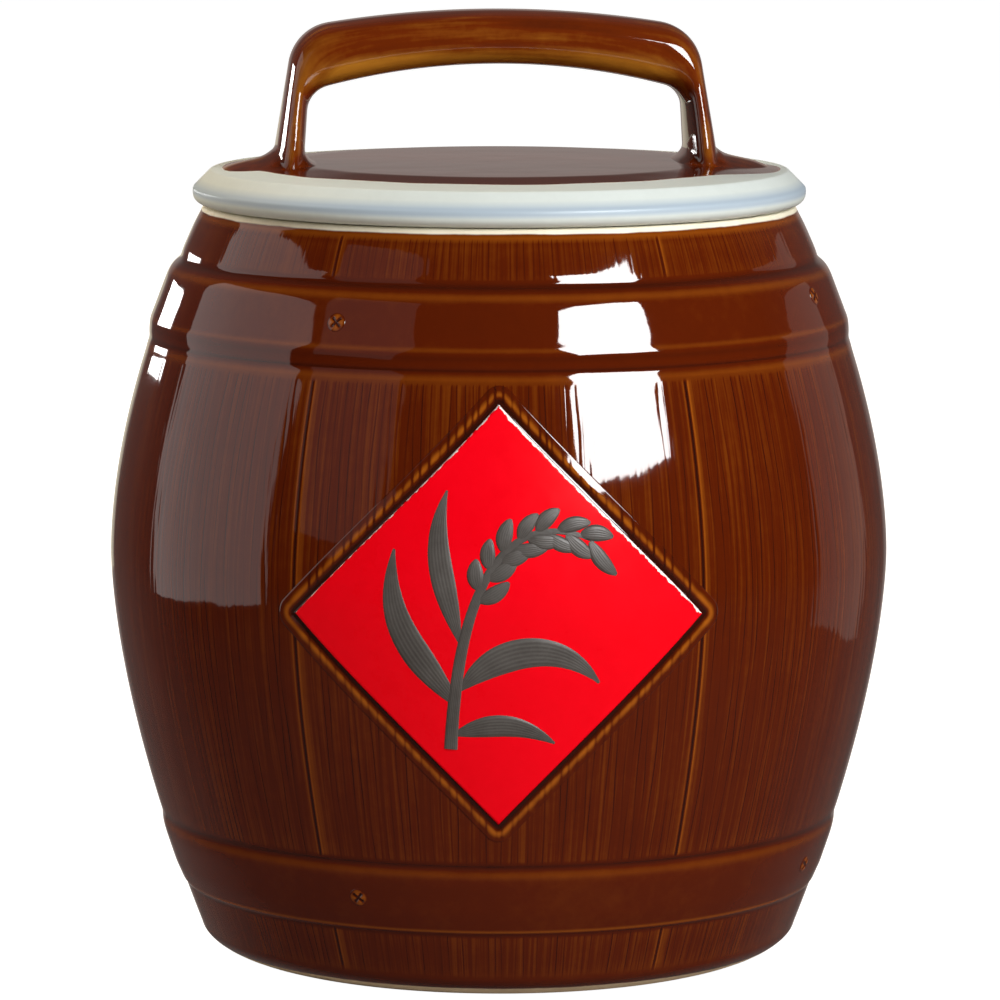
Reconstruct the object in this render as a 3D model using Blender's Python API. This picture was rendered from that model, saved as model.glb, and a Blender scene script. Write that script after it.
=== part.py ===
"""A ceramic rice jar cast as a hooped barrel, with a lid, strap handle, seal and enamel panel.

Metres, +Z up. The origin is the centre of the foot, and the panel faces -Y.
"""

import math

import bmesh
import bpy
from mathutils import Vector

# Barrel
BELLY_RADIUS = 0.1400
BELLY_HEIGHT = 0.1440
JAR_HEIGHT = 0.2688
LIP_RADIUS = 0.1064
LIP_WIDTH = 0.0089
LIP_ROUND = 0.0014
MOUTH_LAND = 0.0095
SHOULDER_DROP = 0.0068
SHOULDER_FLARE = 0.0030
SHOULDER_POWER = 1.77
FOOT_RADIUS = 0.0926
FOOT_RING_WIDTH = 0.0090
FOOT_RECESS = 0.0025
FOOT_CURL_HEIGHT = 0.0090
FOOT_CURL_POWER = 1.65
WAIST_HEIGHT = 0.0120
WAIST_RADIUS = 0.1091
WAIST_POWER = 1.62
WALL = 0.0085
FLOOR_THICKNESS = 0.0080
FLOOR_CORNER = 0.0160

# Staves: six wide boards, with a joint at each side of the panel
STAVE_COUNT = 6
COLUMNS_PER_STAVE = 10
JOINT_HALF_WIDTH = 0.0016
JOINT_DEPTH = 0.0012

# Hoops: plain bands that stand out of the staves, each with a rounded shoulder above it
HOOP_STEP = 0.0007
HOOP_SHOULDER = 0.0052
HOOP_GROOVE = 0.0008
GROOVE_RUN_OUT = 0.0018
SHOULDER_STEPS = 4
LOWER_HOOP_HEIGHT = 0.0252
LOWER_HOOP_BAND = 0.0190
LOWER_HOOP_PROUD = 0.0013
UPPER_HOOP_DROP = 0.0508
UPPER_HOOP_BAND = 0.0152
UPPER_HOOP_PROUD = 0.0021
# Under the upper hoop: a low strip on the ends of the staves, a groove, a slope and a bead
STRIP_WIDTH = 0.0030
STRIP_PROUD = 0.0004
SLOPE_HEIGHT = 0.0046
SLOPE_PROUD = 0.0009
HOOP_BEAD_WIDTH = 0.0022
HOOP_BEAD_RISE = 0.0006

# Panel: a diamond wrapped on the belly, in a pocket with a rounded bead round it
PANEL_DROP = 0.0052
PANEL_HALF_WIDTH = 0.0730
PANEL_HALF_HEIGHT = 0.0725
PANEL_THICKNESS = 0.0015
PANEL_CELLS = 12
POCKET_GROOVE = 0.0026
BEAD_RADIUS = 0.0012
BEAD_PROUD = 0.0007
BEAD_ROOT = 0.0030
BEAD_SIDES = 8

# Lid
LID_OVERHANG = 0.0034
RIM_UNDERCUT = 0.0038
RIM_BAND = 0.0020
BEVEL_HEIGHT = 0.0064
SHOULDER_FALL = 0.0025
SHOULDER_WIDTH = 0.0310
DISC_CROWN = 0.0003
LID_THICKNESS = 0.0075
SPIGOT_DEPTH = 0.0120
SPIGOT_WALL = 0.0060
SPIGOT_GAP = 0.0052
SPIGOT_ROUND = 0.0010

# Seal round the lid's spigot
SEAL_DROP = 0.0025
SEAL_HEIGHT = 0.0054
SEAL_GROOVE_DEPTH = 0.0015
SEAL_BODY = 0.0030
SEAL_FIN = 0.0010

# Handle: a strap, as (leaning legs, round corners, shallow crown), and its flared feet
HANDLE_TURN = math.radians(5)
HANDLE_OFF_CENTRE = -0.0016
HANDLE_RISE = 0.0544
HANDLE_SET_IN = 0.0236
HANDLE_LEAN = math.radians(9.4)
HANDLE_CORNER = 0.0172
HANDLE_CROWN_RADIUS = 0.385
GRIP_THICKNESS = 0.0193
LEG_THICKNESS = 0.0110
FINGER_LEAN = math.radians(4)
FINGER_CORNER = 0.0095
FINGER_CROWN_RADIUS = 0.240
HANDLE_WIDTH = 0.0380
STRAP_ROUNDNESS = 3.4
STRAP_SIDES = 16
ROOT_HALF_WIDTH = 0.0240
ROOT_SET_IN = 0.0040
ROOT_EDGE = 0.0006
ROOT_CREST_END = 0.0018
ROOT_CREST_LEG = 0.0031
ROOT_TOE = 0.0060
ROOT_FILLET = 0.0024
ROOT_FILLET_REACH = 0.0030
ROOT_CELLS = 10

# Clearances and steps
FIT_GAP = 0.0003
ARC_STEPS = 4

# Values that follow from those above
TURN_STEPS = STAVE_COUNT * COLUMNS_PER_STAVE
RECESS_RADIUS = FOOT_RADIUS - FOOT_RING_WIDTH
MOUTH_RADIUS = LIP_RADIUS - LIP_WIDTH
SHOULDER_HEIGHT = JAR_HEIGHT - SHOULDER_DROP
SHOULDER_RADIUS = LIP_RADIUS + SHOULDER_FLARE
FLOOR_HEIGHT = FOOT_RECESS + FLOOR_THICKNESS
UPPER_HOOP_HEIGHT = JAR_HEIGHT - UPPER_HOOP_DROP
SHOULDER_AND_GROOVE = HOOP_SHOULDER + GROOVE_RUN_OUT
LOWER_HOOP_TOP = LOWER_HOOP_HEIGHT + LOWER_HOOP_BAND + SHOULDER_AND_GROOVE
UPPER_BAND_RISE = STRIP_WIDTH + 2 * HOOP_STEP + SLOPE_HEIGHT + HOOP_BEAD_WIDTH
UPPER_HOOP_TOP = UPPER_HOOP_HEIGHT + UPPER_BAND_RISE + UPPER_HOOP_BAND + SHOULDER_AND_GROOVE
JOINT_PITCH = math.tau / STAVE_COUNT
STAVE_ZONES = (
    (FOOT_CURL_HEIGHT, LOWER_HOOP_HEIGHT),
    (LOWER_HOOP_TOP, UPPER_HOOP_HEIGHT),
    (UPPER_HOOP_TOP, SHOULDER_HEIGHT),
)
PANEL_CENTRE_HEIGHT = BELLY_HEIGHT - PANEL_DROP
SEAT_HEIGHT = JAR_HEIGHT + FIT_GAP
LID_RADIUS = LIP_RADIUS + LID_OVERHANG
CORNER_RISE = RIM_UNDERCUT + RIM_BAND + BEVEL_HEIGHT
CORNER_RADIUS = LID_RADIUS - BEVEL_HEIGHT
DISC_RADIUS = CORNER_RADIUS - SHOULDER_WIDTH
DISC_RISE = CORNER_RISE + SHOULDER_FALL
SPIGOT_RADIUS = MOUTH_RADIUS - SPIGOT_GAP
HANDLE_FOOT = CORNER_RADIUS - HANDLE_SET_IN
ROOT_END_RADIUS = CORNER_RADIUS - ROOT_SET_IN


def arc_points(start, end, bulge_right, steps=ARC_STEPS, power=2):
    """A quarter ellipse between two profile points, its first left out. Less power makes it flatter."""
    (r0, z0), (r1, z1) = start, end
    points = []
    for i in range(1, steps + 1):
        turn = 0.5 * math.pi * i / steps
        rising, falling = math.sin(turn) ** (2 / power), 1 - abs(math.cos(turn)) ** (2 / power)
        across, up = (rising, falling) if bulge_right else (falling, rising)
        points.append((r0 + (r1 - r0) * across, z0 + (z1 - z0) * up))
    return points


def spaced(low, high, count):
    return [low + (high - low) * i / (count - 1) for i in range(count)]


def material(name, colour, roughness):
    made = bpy.data.materials.new(name)
    made.use_nodes = True
    shader = made.node_tree.nodes["Principled BSDF"]
    shader.inputs["Base Color"].default_value = (*colour, 1)
    shader.inputs["Roughness"].default_value = roughness
    shader.inputs["Metallic"].default_value = 0
    made.diffuse_color = (*colour, 1)
    return made


def add_object(name, bm, finish, sharp_degrees=35):
    """A smooth-shaded object made from a closed bmesh, with its faces turned outwards."""
    bmesh.ops.remove_doubles(bm, verts=bm.verts, dist=1e-6)
    bmesh.ops.recalc_face_normals(bm, faces=bm.faces)
    if bm.calc_volume(signed=True) < 0:
        bmesh.ops.reverse_faces(bm, faces=bm.faces)
    mesh = bpy.data.meshes.new(name)
    bm.to_mesh(mesh)
    bm.free()
    mesh.shade_smooth()
    mesh.set_sharp_from_angle(angle=math.radians(sharp_degrees))
    if finish:
        mesh.materials.append(finish)
    made = bpy.data.objects.new(name, mesh)
    bpy.context.collection.objects.link(made)
    return made


def add_cutter(name, bm):
    made = add_object(name, bm, None)
    made.hide_render = True
    made.display_type = "WIRE"
    return made


def apply_boolean(target, tool, operation):
    step = target.modifiers.new(operation.title() + " " + tool.name, "BOOLEAN")
    step.object = tool
    step.operation = operation
    step.solver = "EXACT"


def turned(profile, steps, closed=False):
    """A bmesh of a profile of (radius, height) points spun once round the Z axis."""
    bm = bmesh.new()
    verts = [bm.verts.new((radius, 0, height)) for radius, height in profile]
    pairs = list(zip(verts, verts[1:])) + ([(verts[-1], verts[0])] if closed else [])
    edges = [bm.edges.new(pair) for pair in pairs]
    bmesh.ops.spin(
        bm,
        geom=verts + edges,
        cent=(0, 0, 0),
        axis=(0, 0, 1),
        angle=math.tau,
        steps=steps,
        use_merge=True,
    )
    bmesh.ops.remove_doubles(bm, verts=bm.verts, dist=1e-6)
    return bm


def stave_radius(height):
    """The outer face of the staves: two power curves that meet at the belly."""
    if height < BELLY_HEIGHT:
        share = (BELLY_HEIGHT - height) / (BELLY_HEIGHT - WAIST_HEIGHT)
        return BELLY_RADIUS - (BELLY_RADIUS - WAIST_RADIUS) * share**WAIST_POWER
    share = (height - BELLY_HEIGHT) / (SHOULDER_HEIGHT - BELLY_HEIGHT)
    return BELLY_RADIUS - (BELLY_RADIUS - SHOULDER_RADIUS) * share**SHOULDER_POWER


def stave_points(low, high, count):
    return [(stave_radius(z), z) for z in spaced(low, high, count)]


def shoulder_marks(rise, proud):
    """The rounded top of a hoop and the groove above it, as (rise, out) marks."""
    marks = []
    for i in range(SHOULDER_STEPS + 1):
        turn = 0.5 * math.pi * i / SHOULDER_STEPS
        out = proud - (proud + HOOP_GROOVE) * (1 - math.cos(turn))
        marks.append((rise + HOOP_SHOULDER * math.sin(turn), out))
    return marks


def lower_hoop_marks():
    marks = [(HOOP_STEP, 0.5 * LOWER_HOOP_PROUD), (0.4 * LOWER_HOOP_BAND, LOWER_HOOP_PROUD)]
    return marks + shoulder_marks(LOWER_HOOP_BAND, LOWER_HOOP_PROUD)


def upper_hoop_marks():
    groove = STRIP_WIDTH + HOOP_STEP
    slope_top = groove + HOOP_STEP + SLOPE_HEIGHT
    marks = [(HOOP_STEP, STRIP_PROUD), (STRIP_WIDTH, STRIP_PROUD)]
    marks += [(groove, -0.5 * HOOP_GROOVE), (groove + HOOP_STEP, SLOPE_PROUD)]
    marks += [(slope_top, UPPER_HOOP_PROUD)]
    for share, swell in ((0.25, 0.7), (0.5, 1), (0.75, 0.7), (1, 0)):
        marks.append((slope_top + share * HOOP_BEAD_WIDTH, UPPER_HOOP_PROUD + swell * HOOP_BEAD_RISE))
    return marks + shoulder_marks(UPPER_BAND_RISE + UPPER_HOOP_BAND, UPPER_HOOP_PROUD)


def hoop_points(height, marks):
    return [(stave_radius(height + rise) + out, height + rise) for rise, out in marks]


def body_outline():
    """The jar's half section, from the middle of the base, up the outside and down the inside."""
    curl_end = (stave_radius(FOOT_CURL_HEIGHT), FOOT_CURL_HEIGHT)
    low_zone, belly_zone, top_zone = STAVE_ZONES
    outside = [(0, FOOT_RECESS), (RECESS_RADIUS - FOOT_RECESS, FOOT_RECESS)]
    outside += [(RECESS_RADIUS, 0), (FOOT_RADIUS, 0)]
    outside += arc_points((FOOT_RADIUS, 0), curl_end, True, power=FOOT_CURL_POWER)
    outside += stave_points(*low_zone, 3)[1:]
    outside += hoop_points(LOWER_HOOP_HEIGHT, lower_hoop_marks())
    outside += stave_points(*belly_zone, 11)
    outside += hoop_points(UPPER_HOOP_HEIGHT, upper_hoop_marks())
    outside += stave_points(*top_zone, 3)
    lip = [(LIP_RADIUS, JAR_HEIGHT - LIP_ROUND)]
    lip += arc_points(lip[0], (LIP_RADIUS - LIP_ROUND, JAR_HEIGHT), False, 2)
    lip += [(MOUTH_RADIUS + LIP_ROUND, JAR_HEIGHT)]
    lip += arc_points(lip[-1], (MOUTH_RADIUS, JAR_HEIGHT - LIP_ROUND), True, 2)
    lip += [(MOUTH_RADIUS, JAR_HEIGHT - MOUTH_LAND)]
    throat = JAR_HEIGHT - MOUTH_LAND - 1.3 * WALL
    wall_foot = FLOOR_HEIGHT + FLOOR_CORNER
    inside = [(stave_radius(z) - WALL, z) for z in spaced(throat, wall_foot, 8)]
    corner = (inside[-1][0] - FLOOR_CORNER, FLOOR_HEIGHT)
    inside += arc_points(inside[-1], corner, False)
    return outside + lip + inside + [(0, FLOOR_HEIGHT)]


def gathered_angle(angle):
    """Moves an even column's angle so that three columns stand close together at each joint."""
    step = JOINT_PITCH / COLUMNS_PER_STAVE
    half_width = JOINT_HALF_WIDTH / BELLY_RADIUS
    offset = (angle + 0.5 * JOINT_PITCH) % JOINT_PITCH - 0.5 * JOINT_PITCH
    near = 0.5 * JOINT_PITCH - abs(offset)
    if near < 1.5 * step:
        moved = 0.5 * JOINT_PITCH - near / step * half_width
    else:
        moved = abs(offset) * (0.5 * JOINT_PITCH - half_width) / (0.5 * JOINT_PITCH - step)
    return angle - offset + math.copysign(moved, offset)


def press_stave_joints(bm):
    """Gathers the columns at the joints and presses the middle one of each into the staves."""
    for vert in bm.verts:
        radius = math.hypot(vert.co.x, vert.co.y)
        if radius < 1e-6:
            continue
        even = math.atan2(vert.co.x, -vert.co.y)
        angle = gathered_angle(even)
        middle = abs((even % JOINT_PITCH) - 0.5 * JOINT_PITCH) < 1e-4
        outer = radius > stave_radius(vert.co.z) - 0.5 * WALL
        staved = any(low - 1e-6 < vert.co.z < high + 1e-6 for low, high in STAVE_ZONES)
        if middle and outer and staved:
            radius -= JOINT_DEPTH
        vert.co.x = radius * math.sin(angle)
        vert.co.y = -radius * math.cos(angle)


def on_belly(across, up, out):
    """A point of the panel's flat layout wrapped on the staves and moved outwards."""
    angle = across / BELLY_RADIUS
    height = PANEL_CENTRE_HEIGHT + up
    radius = stave_radius(height) + out
    return Vector((radius * math.sin(angle), -radius * math.cos(angle), height))


def diamond_slab(margin, inner, outer):
    """A closed curved diamond between two offsets from the staves, grown by a margin."""
    bm = bmesh.new()
    half_width = PANEL_HALF_WIDTH + margin * math.sqrt(2)
    half_height = PANEL_HALF_HEIGHT + margin * math.sqrt(2)
    layers = []
    for out in (inner, outer):
        grid = []
        for i in range(PANEL_CELLS + 1):
            a = 2 * i / PANEL_CELLS - 1
            row = []
            for j in range(PANEL_CELLS + 1):
                b = 2 * j / PANEL_CELLS - 1
                row.append(bm.verts.new(on_belly((a + b) / 2 * half_width, (a - b) / 2 * half_height, out)))
            grid.append(row)
        layers.append(grid)
    close_grid(bm, *layers)
    return bm


def close_grid(bm, low, high):
    """Faces for two matching grids of vertices, and for the wall round their edges."""
    rows, columns = len(low), len(low[0])
    for grid in (low, high):
        for i in range(rows - 1):
            for j in range(columns - 1):
                bm.faces.new((grid[i][j], grid[i + 1][j], grid[i + 1][j + 1], grid[i][j + 1]))
    rim = [(i, 0) for i in range(rows)]
    rim += [(rows - 1, j) for j in range(1, columns)]
    rim += [(i, columns - 1) for i in range(rows - 2, -1, -1)]
    rim += [(0, j) for j in range(columns - 2, 0, -1)]
    for (i, j), (k, m) in zip(rim, rim[1:] + rim[:1]):
        bm.faces.new((low[i][j], low[k][m], high[k][m], high[i][j]))


def bead_ring():
    """The rounded bead round the pocket: a closed tube along a larger diamond, rooted in the wall."""
    bm = bmesh.new()
    margin = (POCKET_GROOVE + 0.5 * BEAD_RADIUS) * math.sqrt(2)
    corners = (
        Vector((0, PANEL_HALF_HEIGHT + margin)),
        Vector((PANEL_HALF_WIDTH + margin, 0)),
        Vector((0, -PANEL_HALF_HEIGHT - margin)),
        Vector((-PANEL_HALF_WIDTH - margin, 0)),
    )
    rings = []
    for start, end in zip(corners, corners[1:] + corners[:1]):
        for i in range(PANEL_CELLS):
            place = start.lerp(end, i / PANEL_CELLS)
            side = Vector((start.y - end.y, end.x - start.x)).normalized()
            if i == 0:
                side = start.normalized() * math.sqrt(2)
            ring = []
            for k in range(BEAD_SIDES):
                turn = math.tau * k / BEAD_SIDES
                flat = place + side * BEAD_RADIUS * math.cos(turn)
                rise = BEAD_RADIUS if turn < math.pi else BEAD_ROOT
                out = BEAD_PROUD - BEAD_RADIUS + rise * math.sin(turn)
                ring.append(bm.verts.new(on_belly(flat.x, flat.y, out)))
            rings.append(ring)
    for ring, following in zip(rings, rings[1:] + rings[:1]):
        for k in range(BEAD_SIDES):
            m = (k + 1) % BEAD_SIDES
            bm.faces.new((ring[k], ring[m], following[m], following[k]))
    return bm


def make_body(finish):
    bm = turned(body_outline(), TURN_STEPS)
    press_stave_joints(bm)
    body = add_object("jar_body", bm, finish)
    bead = add_cutter("bead_form", bead_ring())
    apply_boolean(body, bead, "UNION")
    depth = PANEL_THICKNESS + FIT_GAP
    pocket = add_cutter("pocket_form", diamond_slab(POCKET_GROOVE, -depth, 4 * depth))
    apply_boolean(body, pocket, "DIFFERENCE")
    return body


def make_panel(finish):
    return add_object("enamel_panel", diamond_slab(0, -PANEL_THICKNESS, 0), finish)


def lid_top(radius):
    """How high the lid's top face is above its seat: a slight dome, then a sloping shoulder."""
    if radius < DISC_RADIUS:
        return DISC_RISE + DISC_CROWN * (1 - (radius / DISC_RADIUS) ** 2)
    return DISC_RISE - SHOULDER_FALL * (radius - DISC_RADIUS) / SHOULDER_WIDTH


def lid_outline():
    """The lid's half section above its seat, from the middle of the top round to the underside."""
    top = [(r, lid_top(r)) for r in (0, 0.6 * DISC_RADIUS, DISC_RADIUS)]
    top += [(DISC_RADIUS + 0.5 * SHOULDER_WIDTH, lid_top(DISC_RADIUS + 0.5 * SHOULDER_WIDTH))]
    top += [(CORNER_RADIUS, CORNER_RISE)]
    rim = [(LID_RADIUS - 0.1 * BEVEL_HEIGHT, RIM_UNDERCUT + RIM_BAND + 0.1 * BEVEL_HEIGHT)]
    rim += [(LID_RADIUS, RIM_UNDERCUT + RIM_BAND - 0.1 * BEVEL_HEIGHT), (LID_RADIUS, RIM_UNDERCUT)]
    rim += arc_points(rim[-1], (LID_RADIUS - 1.2 * RIM_UNDERCUT, 0), False)
    groove_top = -SEAL_DROP
    groove_foot = groove_top - SEAL_HEIGHT - 2 * FIT_GAP
    groove_radius = SPIGOT_RADIUS - SEAL_GROOVE_DEPTH
    spigot = [(SPIGOT_RADIUS + SPIGOT_ROUND, 0)]
    spigot += [(SPIGOT_RADIUS, -SPIGOT_ROUND)]
    spigot += [(SPIGOT_RADIUS, groove_top), (groove_radius, groove_top)]
    spigot += [(groove_radius, groove_foot), (SPIGOT_RADIUS, groove_foot)]
    spigot += [(SPIGOT_RADIUS, SPIGOT_ROUND - SPIGOT_DEPTH)]
    spigot += [(SPIGOT_RADIUS - SPIGOT_ROUND, -SPIGOT_DEPTH)]
    spigot += [(SPIGOT_RADIUS - SPIGOT_WALL, -SPIGOT_DEPTH)]
    ceiling = DISC_RISE - LID_THICKNESS
    hollow = [(SPIGOT_RADIUS - SPIGOT_WALL, ceiling - SPIGOT_WALL)]
    hollow += arc_points(hollow[-1], (SPIGOT_RADIUS - 2 * SPIGOT_WALL, ceiling), False)
    return top + rim + spigot + hollow + [(0, ceiling)]


def make_lid(finish):
    return add_object("lid", turned(lid_outline(), TURN_STEPS), finish, 25)


def make_seal(finish):
    """A soft ring in the spigot's groove, with two fins that reach the mouth of the jar."""
    inner = SPIGOT_RADIUS - SEAL_GROOVE_DEPTH + FIT_GAP
    body = inner + SEAL_BODY
    reach = MOUTH_RADIUS - FIT_GAP
    top = -SEAL_DROP - FIT_GAP
    foot = top - SEAL_HEIGHT
    profile = [(inner, foot), (body, foot)]
    for fin_foot in (foot + 0.15 * SEAL_HEIGHT, foot + 0.6 * SEAL_HEIGHT):
        profile += [(body, fin_foot), (reach, fin_foot + 0.6 * SEAL_FIN)]
        profile += [(reach, fin_foot + 1.2 * SEAL_FIN), (body, fin_foot + SEAL_FIN)]
    profile += [(body, top), (inner, top)]
    return add_object("lid_seal", turned(profile, TURN_STEPS, closed=True), finish)


def arch_outline(foot, lean, apex, crown_radius, corner_radius, counts):
    """Half an arch in (across, up): a leaning leg, a round corner, then a shallow crown to the middle."""
    up = Vector((-math.sin(lean), math.cos(lean)))
    inward = Vector((-math.cos(lean), -math.sin(lean)))
    crown_centre = Vector((0, apex - crown_radius))
    offset = foot + inward * corner_radius - crown_centre
    along = offset.dot(up)
    gap = offset.length_squared - (crown_radius - corner_radius) ** 2
    leg = math.sqrt(along * along - gap) - along
    corner_centre = foot + inward * corner_radius + up * leg
    spoke = (corner_centre - crown_centre).normalized()
    corner_turn = Vector.angle_signed(-inward, spoke)
    crown_turn = Vector.angle_signed(spoke, Vector((0, 1)))
    legs, corners, crowns = counts
    points = [foot + up * leg * i / legs for i in range(legs)]
    for i in range(corners):
        points.append(corner_centre + turned_by(-inward, corner_turn * i / corners) * corner_radius)
    for i in range(crowns + 1):
        points.append(crown_centre + turned_by(spoke, crown_turn * i / crowns) * crown_radius)
    return points


def turned_by(direction, signed_angle):
    """A 2-D direction turned by an angle signed as Vector.angle_signed signs it."""
    cosine, sine = math.cos(signed_angle), math.sin(signed_angle)
    return Vector((direction.x * cosine + direction.y * sine, direction.y * cosine - direction.x * sine))


def strap_ring(bm, outer, inner):
    """One rounded section of the strap, between a point outside the arch and one inside it."""
    middle = (outer + inner) / 2
    reach = (outer - inner) / 2
    ring = []
    for k in range(STRAP_SIDES):
        turn = math.tau * (k + 0.5) / STRAP_SIDES
        across = math.copysign(abs(math.cos(turn)) ** (2 / STRAP_ROUNDNESS), math.cos(turn))
        depth = math.copysign(abs(math.sin(turn)) ** (2 / STRAP_ROUNDNESS), math.sin(turn))
        flat = middle + reach * across
        ring.append(bm.verts.new((flat.x, 0.5 * HANDLE_WIDTH * depth, flat.y)))
    return ring


def make_strap():
    """The handle's strap, a rounded section carried along both sides of the arch."""
    floor = DISC_RISE + FIT_GAP + ROOT_EDGE
    outer_foot = Vector((HANDLE_FOOT, floor))
    inner_foot = Vector((HANDLE_FOOT - LEG_THICKNESS, floor))
    apex = DISC_RISE + HANDLE_RISE
    counts = (5, 5, 6)
    outer = arch_outline(outer_foot, HANDLE_LEAN, apex, HANDLE_CROWN_RADIUS, HANDLE_CORNER, counts)
    finger_apex = apex - GRIP_THICKNESS
    inner = arch_outline(inner_foot, FINGER_LEAN, finger_apex, FINGER_CROWN_RADIUS, FINGER_CORNER, counts)
    bm = bmesh.new()
    rings = [strap_ring(bm, o, i) for o, i in zip(outer, inner)]
    mirror = Vector((-1, 1))
    rings += [strap_ring(bm, o * mirror, i * mirror) for o, i in list(zip(outer, inner))[-2::-1]]
    for ring, following in zip(rings, rings[1:]):
        for k in range(STRAP_SIDES):
            m = (k + 1) % STRAP_SIDES
            bm.faces.new((ring[k], ring[m], following[m], following[k]))
    bm.faces.new(rings[0])
    bm.faces.new(rings[-1])
    return bm


def root_height(along, across):
    """How far a foot stands above the lid's face, at a place along and across the handle."""
    leg_outer, leg_inner = HANDLE_FOOT, HANDLE_FOOT - LEG_THICKNESS
    run = max(0, along - leg_outer) / (ROOT_END_RADIUS - leg_outer)
    spread = min(1, abs(across) / ROOT_HALF_WIDTH)
    hill = (ROOT_CREST_LEG + (ROOT_CREST_END - ROOT_CREST_LEG) * min(1, run)) * (1 - spread * spread)
    beside = max(leg_inner - along, along - leg_outer, abs(across) - 0.5 * HANDLE_WIDTH, 0)
    fillet = ROOT_FILLET * math.exp(-beside / ROOT_FILLET_REACH) * (1 - spread**4) * max(0, 1 - run)
    inner_share = max(0, 1 - max(0, leg_inner - along) / ROOT_TOE)
    return ROOT_EDGE + (hill + fillet) * inner_share**2


def make_root(side):
    """One flared foot, laid on the lid's face and sloped off at a radius inside the lid's rim."""
    bm = bmesh.new()
    low, high = [], []
    toe = HANDLE_FOOT - LEG_THICKNESS - ROOT_TOE
    for i in range(ROOT_CELLS + 1):
        share = i / ROOT_CELLS
        low_row, high_row = [], []
        for j in range(ROOT_CELLS + 1):
            across = ROOT_HALF_WIDTH * (2 * j / ROOT_CELLS - 1)
            for row, is_top in ((low_row, False), (high_row, True)):
                rise = root_height(ROOT_END_RADIUS, across) if is_top else 0
                end_radius = ROOT_END_RADIUS - 0.5 * rise
                end = math.sqrt(end_radius**2 - across**2) - side * HANDLE_OFF_CENTRE
                along = toe + (end - toe) * share
                radius = math.hypot(along + side * HANDLE_OFF_CENTRE, across)
                height = lid_top(radius) + FIT_GAP
                if is_top:
                    height += root_height(along, across)
                row.append(bm.verts.new((side * along, across, height)))
        low.append(low_row)
        high.append(high_row)
    close_grid(bm, low, high)
    return bm


def make_handle(finish):
    handle = add_object("lid_handle", make_strap(), finish, 60)
    for name, side in (("right_root_form", 1), ("left_root_form", -1)):
        root = add_cutter(name, make_root(side))
        root.parent = handle
        apply_boolean(handle, root, "UNION")
    return handle


def build():
    for old in list(bpy.data.objects):
        bpy.data.objects.remove(old)

    brown_glaze = material("brown_glaze", (0.10, 0.022, 0.008), 0.08)
    red_enamel = material("red_enamel", (0.78, 0.005, 0.010), 0.18)
    pale_glaze = material("pale_glaze", (0.60, 0.65, 0.64), 0.30)
    handle_glaze = material("handle_glaze", (0.13, 0.030, 0.006), 0.08)
    soft_ring = material("soft_ring", (0.80, 0.79, 0.76), 0.50)

    make_body(brown_glaze)
    make_panel(red_enamel)
    lid_axis = bpy.data.objects.new("lid_axis", None)
    lid_axis.location = (0, 0, SEAT_HEIGHT)
    lid_axis.rotation_euler = (0, 0, HANDLE_TURN)
    bpy.context.collection.objects.link(lid_axis)
    handle = make_handle(handle_glaze)
    handle.location.x = HANDLE_OFF_CENTRE
    for piece in (make_lid(pale_glaze), handle, make_seal(soft_ring)):
        piece.parent = lid_axis


build()
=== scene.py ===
# %% [markdown]
# # A glazed rice jar, made like a hooped barrel
# The jar is one hollow stoneware casting under a glossy brown glaze. Its staves, hoops, grain and
# screw heads are relief in that one casting, and its lid, strap handle and red panel are separate.
# This script loads the plain solids, then builds a fine surface for each piece in the same place,
# with its glaze made from shader nodes. Every length is in metres, and the panel faces -Y.
# %% Load the solids as a fixed frame
import math

import bmesh
import bpy
import numpy as np
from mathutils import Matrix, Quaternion, Vector


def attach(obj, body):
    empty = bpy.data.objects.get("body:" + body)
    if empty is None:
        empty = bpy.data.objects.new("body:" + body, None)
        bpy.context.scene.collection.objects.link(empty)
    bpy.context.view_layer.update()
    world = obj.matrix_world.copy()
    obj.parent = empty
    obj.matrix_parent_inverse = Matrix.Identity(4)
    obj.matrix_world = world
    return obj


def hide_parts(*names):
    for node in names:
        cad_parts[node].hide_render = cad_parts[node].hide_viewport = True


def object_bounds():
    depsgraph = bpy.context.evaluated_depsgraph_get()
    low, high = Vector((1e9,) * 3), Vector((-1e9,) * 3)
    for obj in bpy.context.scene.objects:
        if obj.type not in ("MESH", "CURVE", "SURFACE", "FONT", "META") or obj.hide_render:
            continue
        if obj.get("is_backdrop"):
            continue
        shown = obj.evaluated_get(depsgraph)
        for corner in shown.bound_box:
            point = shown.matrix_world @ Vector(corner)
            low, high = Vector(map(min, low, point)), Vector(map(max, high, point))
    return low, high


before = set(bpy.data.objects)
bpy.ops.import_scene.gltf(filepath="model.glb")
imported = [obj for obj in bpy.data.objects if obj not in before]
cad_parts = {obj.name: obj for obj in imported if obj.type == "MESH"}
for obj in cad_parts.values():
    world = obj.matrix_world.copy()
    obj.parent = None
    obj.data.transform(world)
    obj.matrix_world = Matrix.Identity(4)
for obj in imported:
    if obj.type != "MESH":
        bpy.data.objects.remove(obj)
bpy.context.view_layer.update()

scene = bpy.context.scene

# %% [markdown]
# ## The camera
# The photograph is taken from about two metres, a little above the jar, with a long lens. A real
# length for the lens and a plain tilt give the same narrowing towards the foot, so no shift is used.
# %% Camera
CAMERA_PLACE = (0.0, -2.091, 0.4451)
CAMERA_TILT, CAMERA_ROLL = math.radians(7.73), -0.0015
IMAGE_PIXELS, LENS_PIXELS, SENSOR_MM = 1000, 5844, 36

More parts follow.
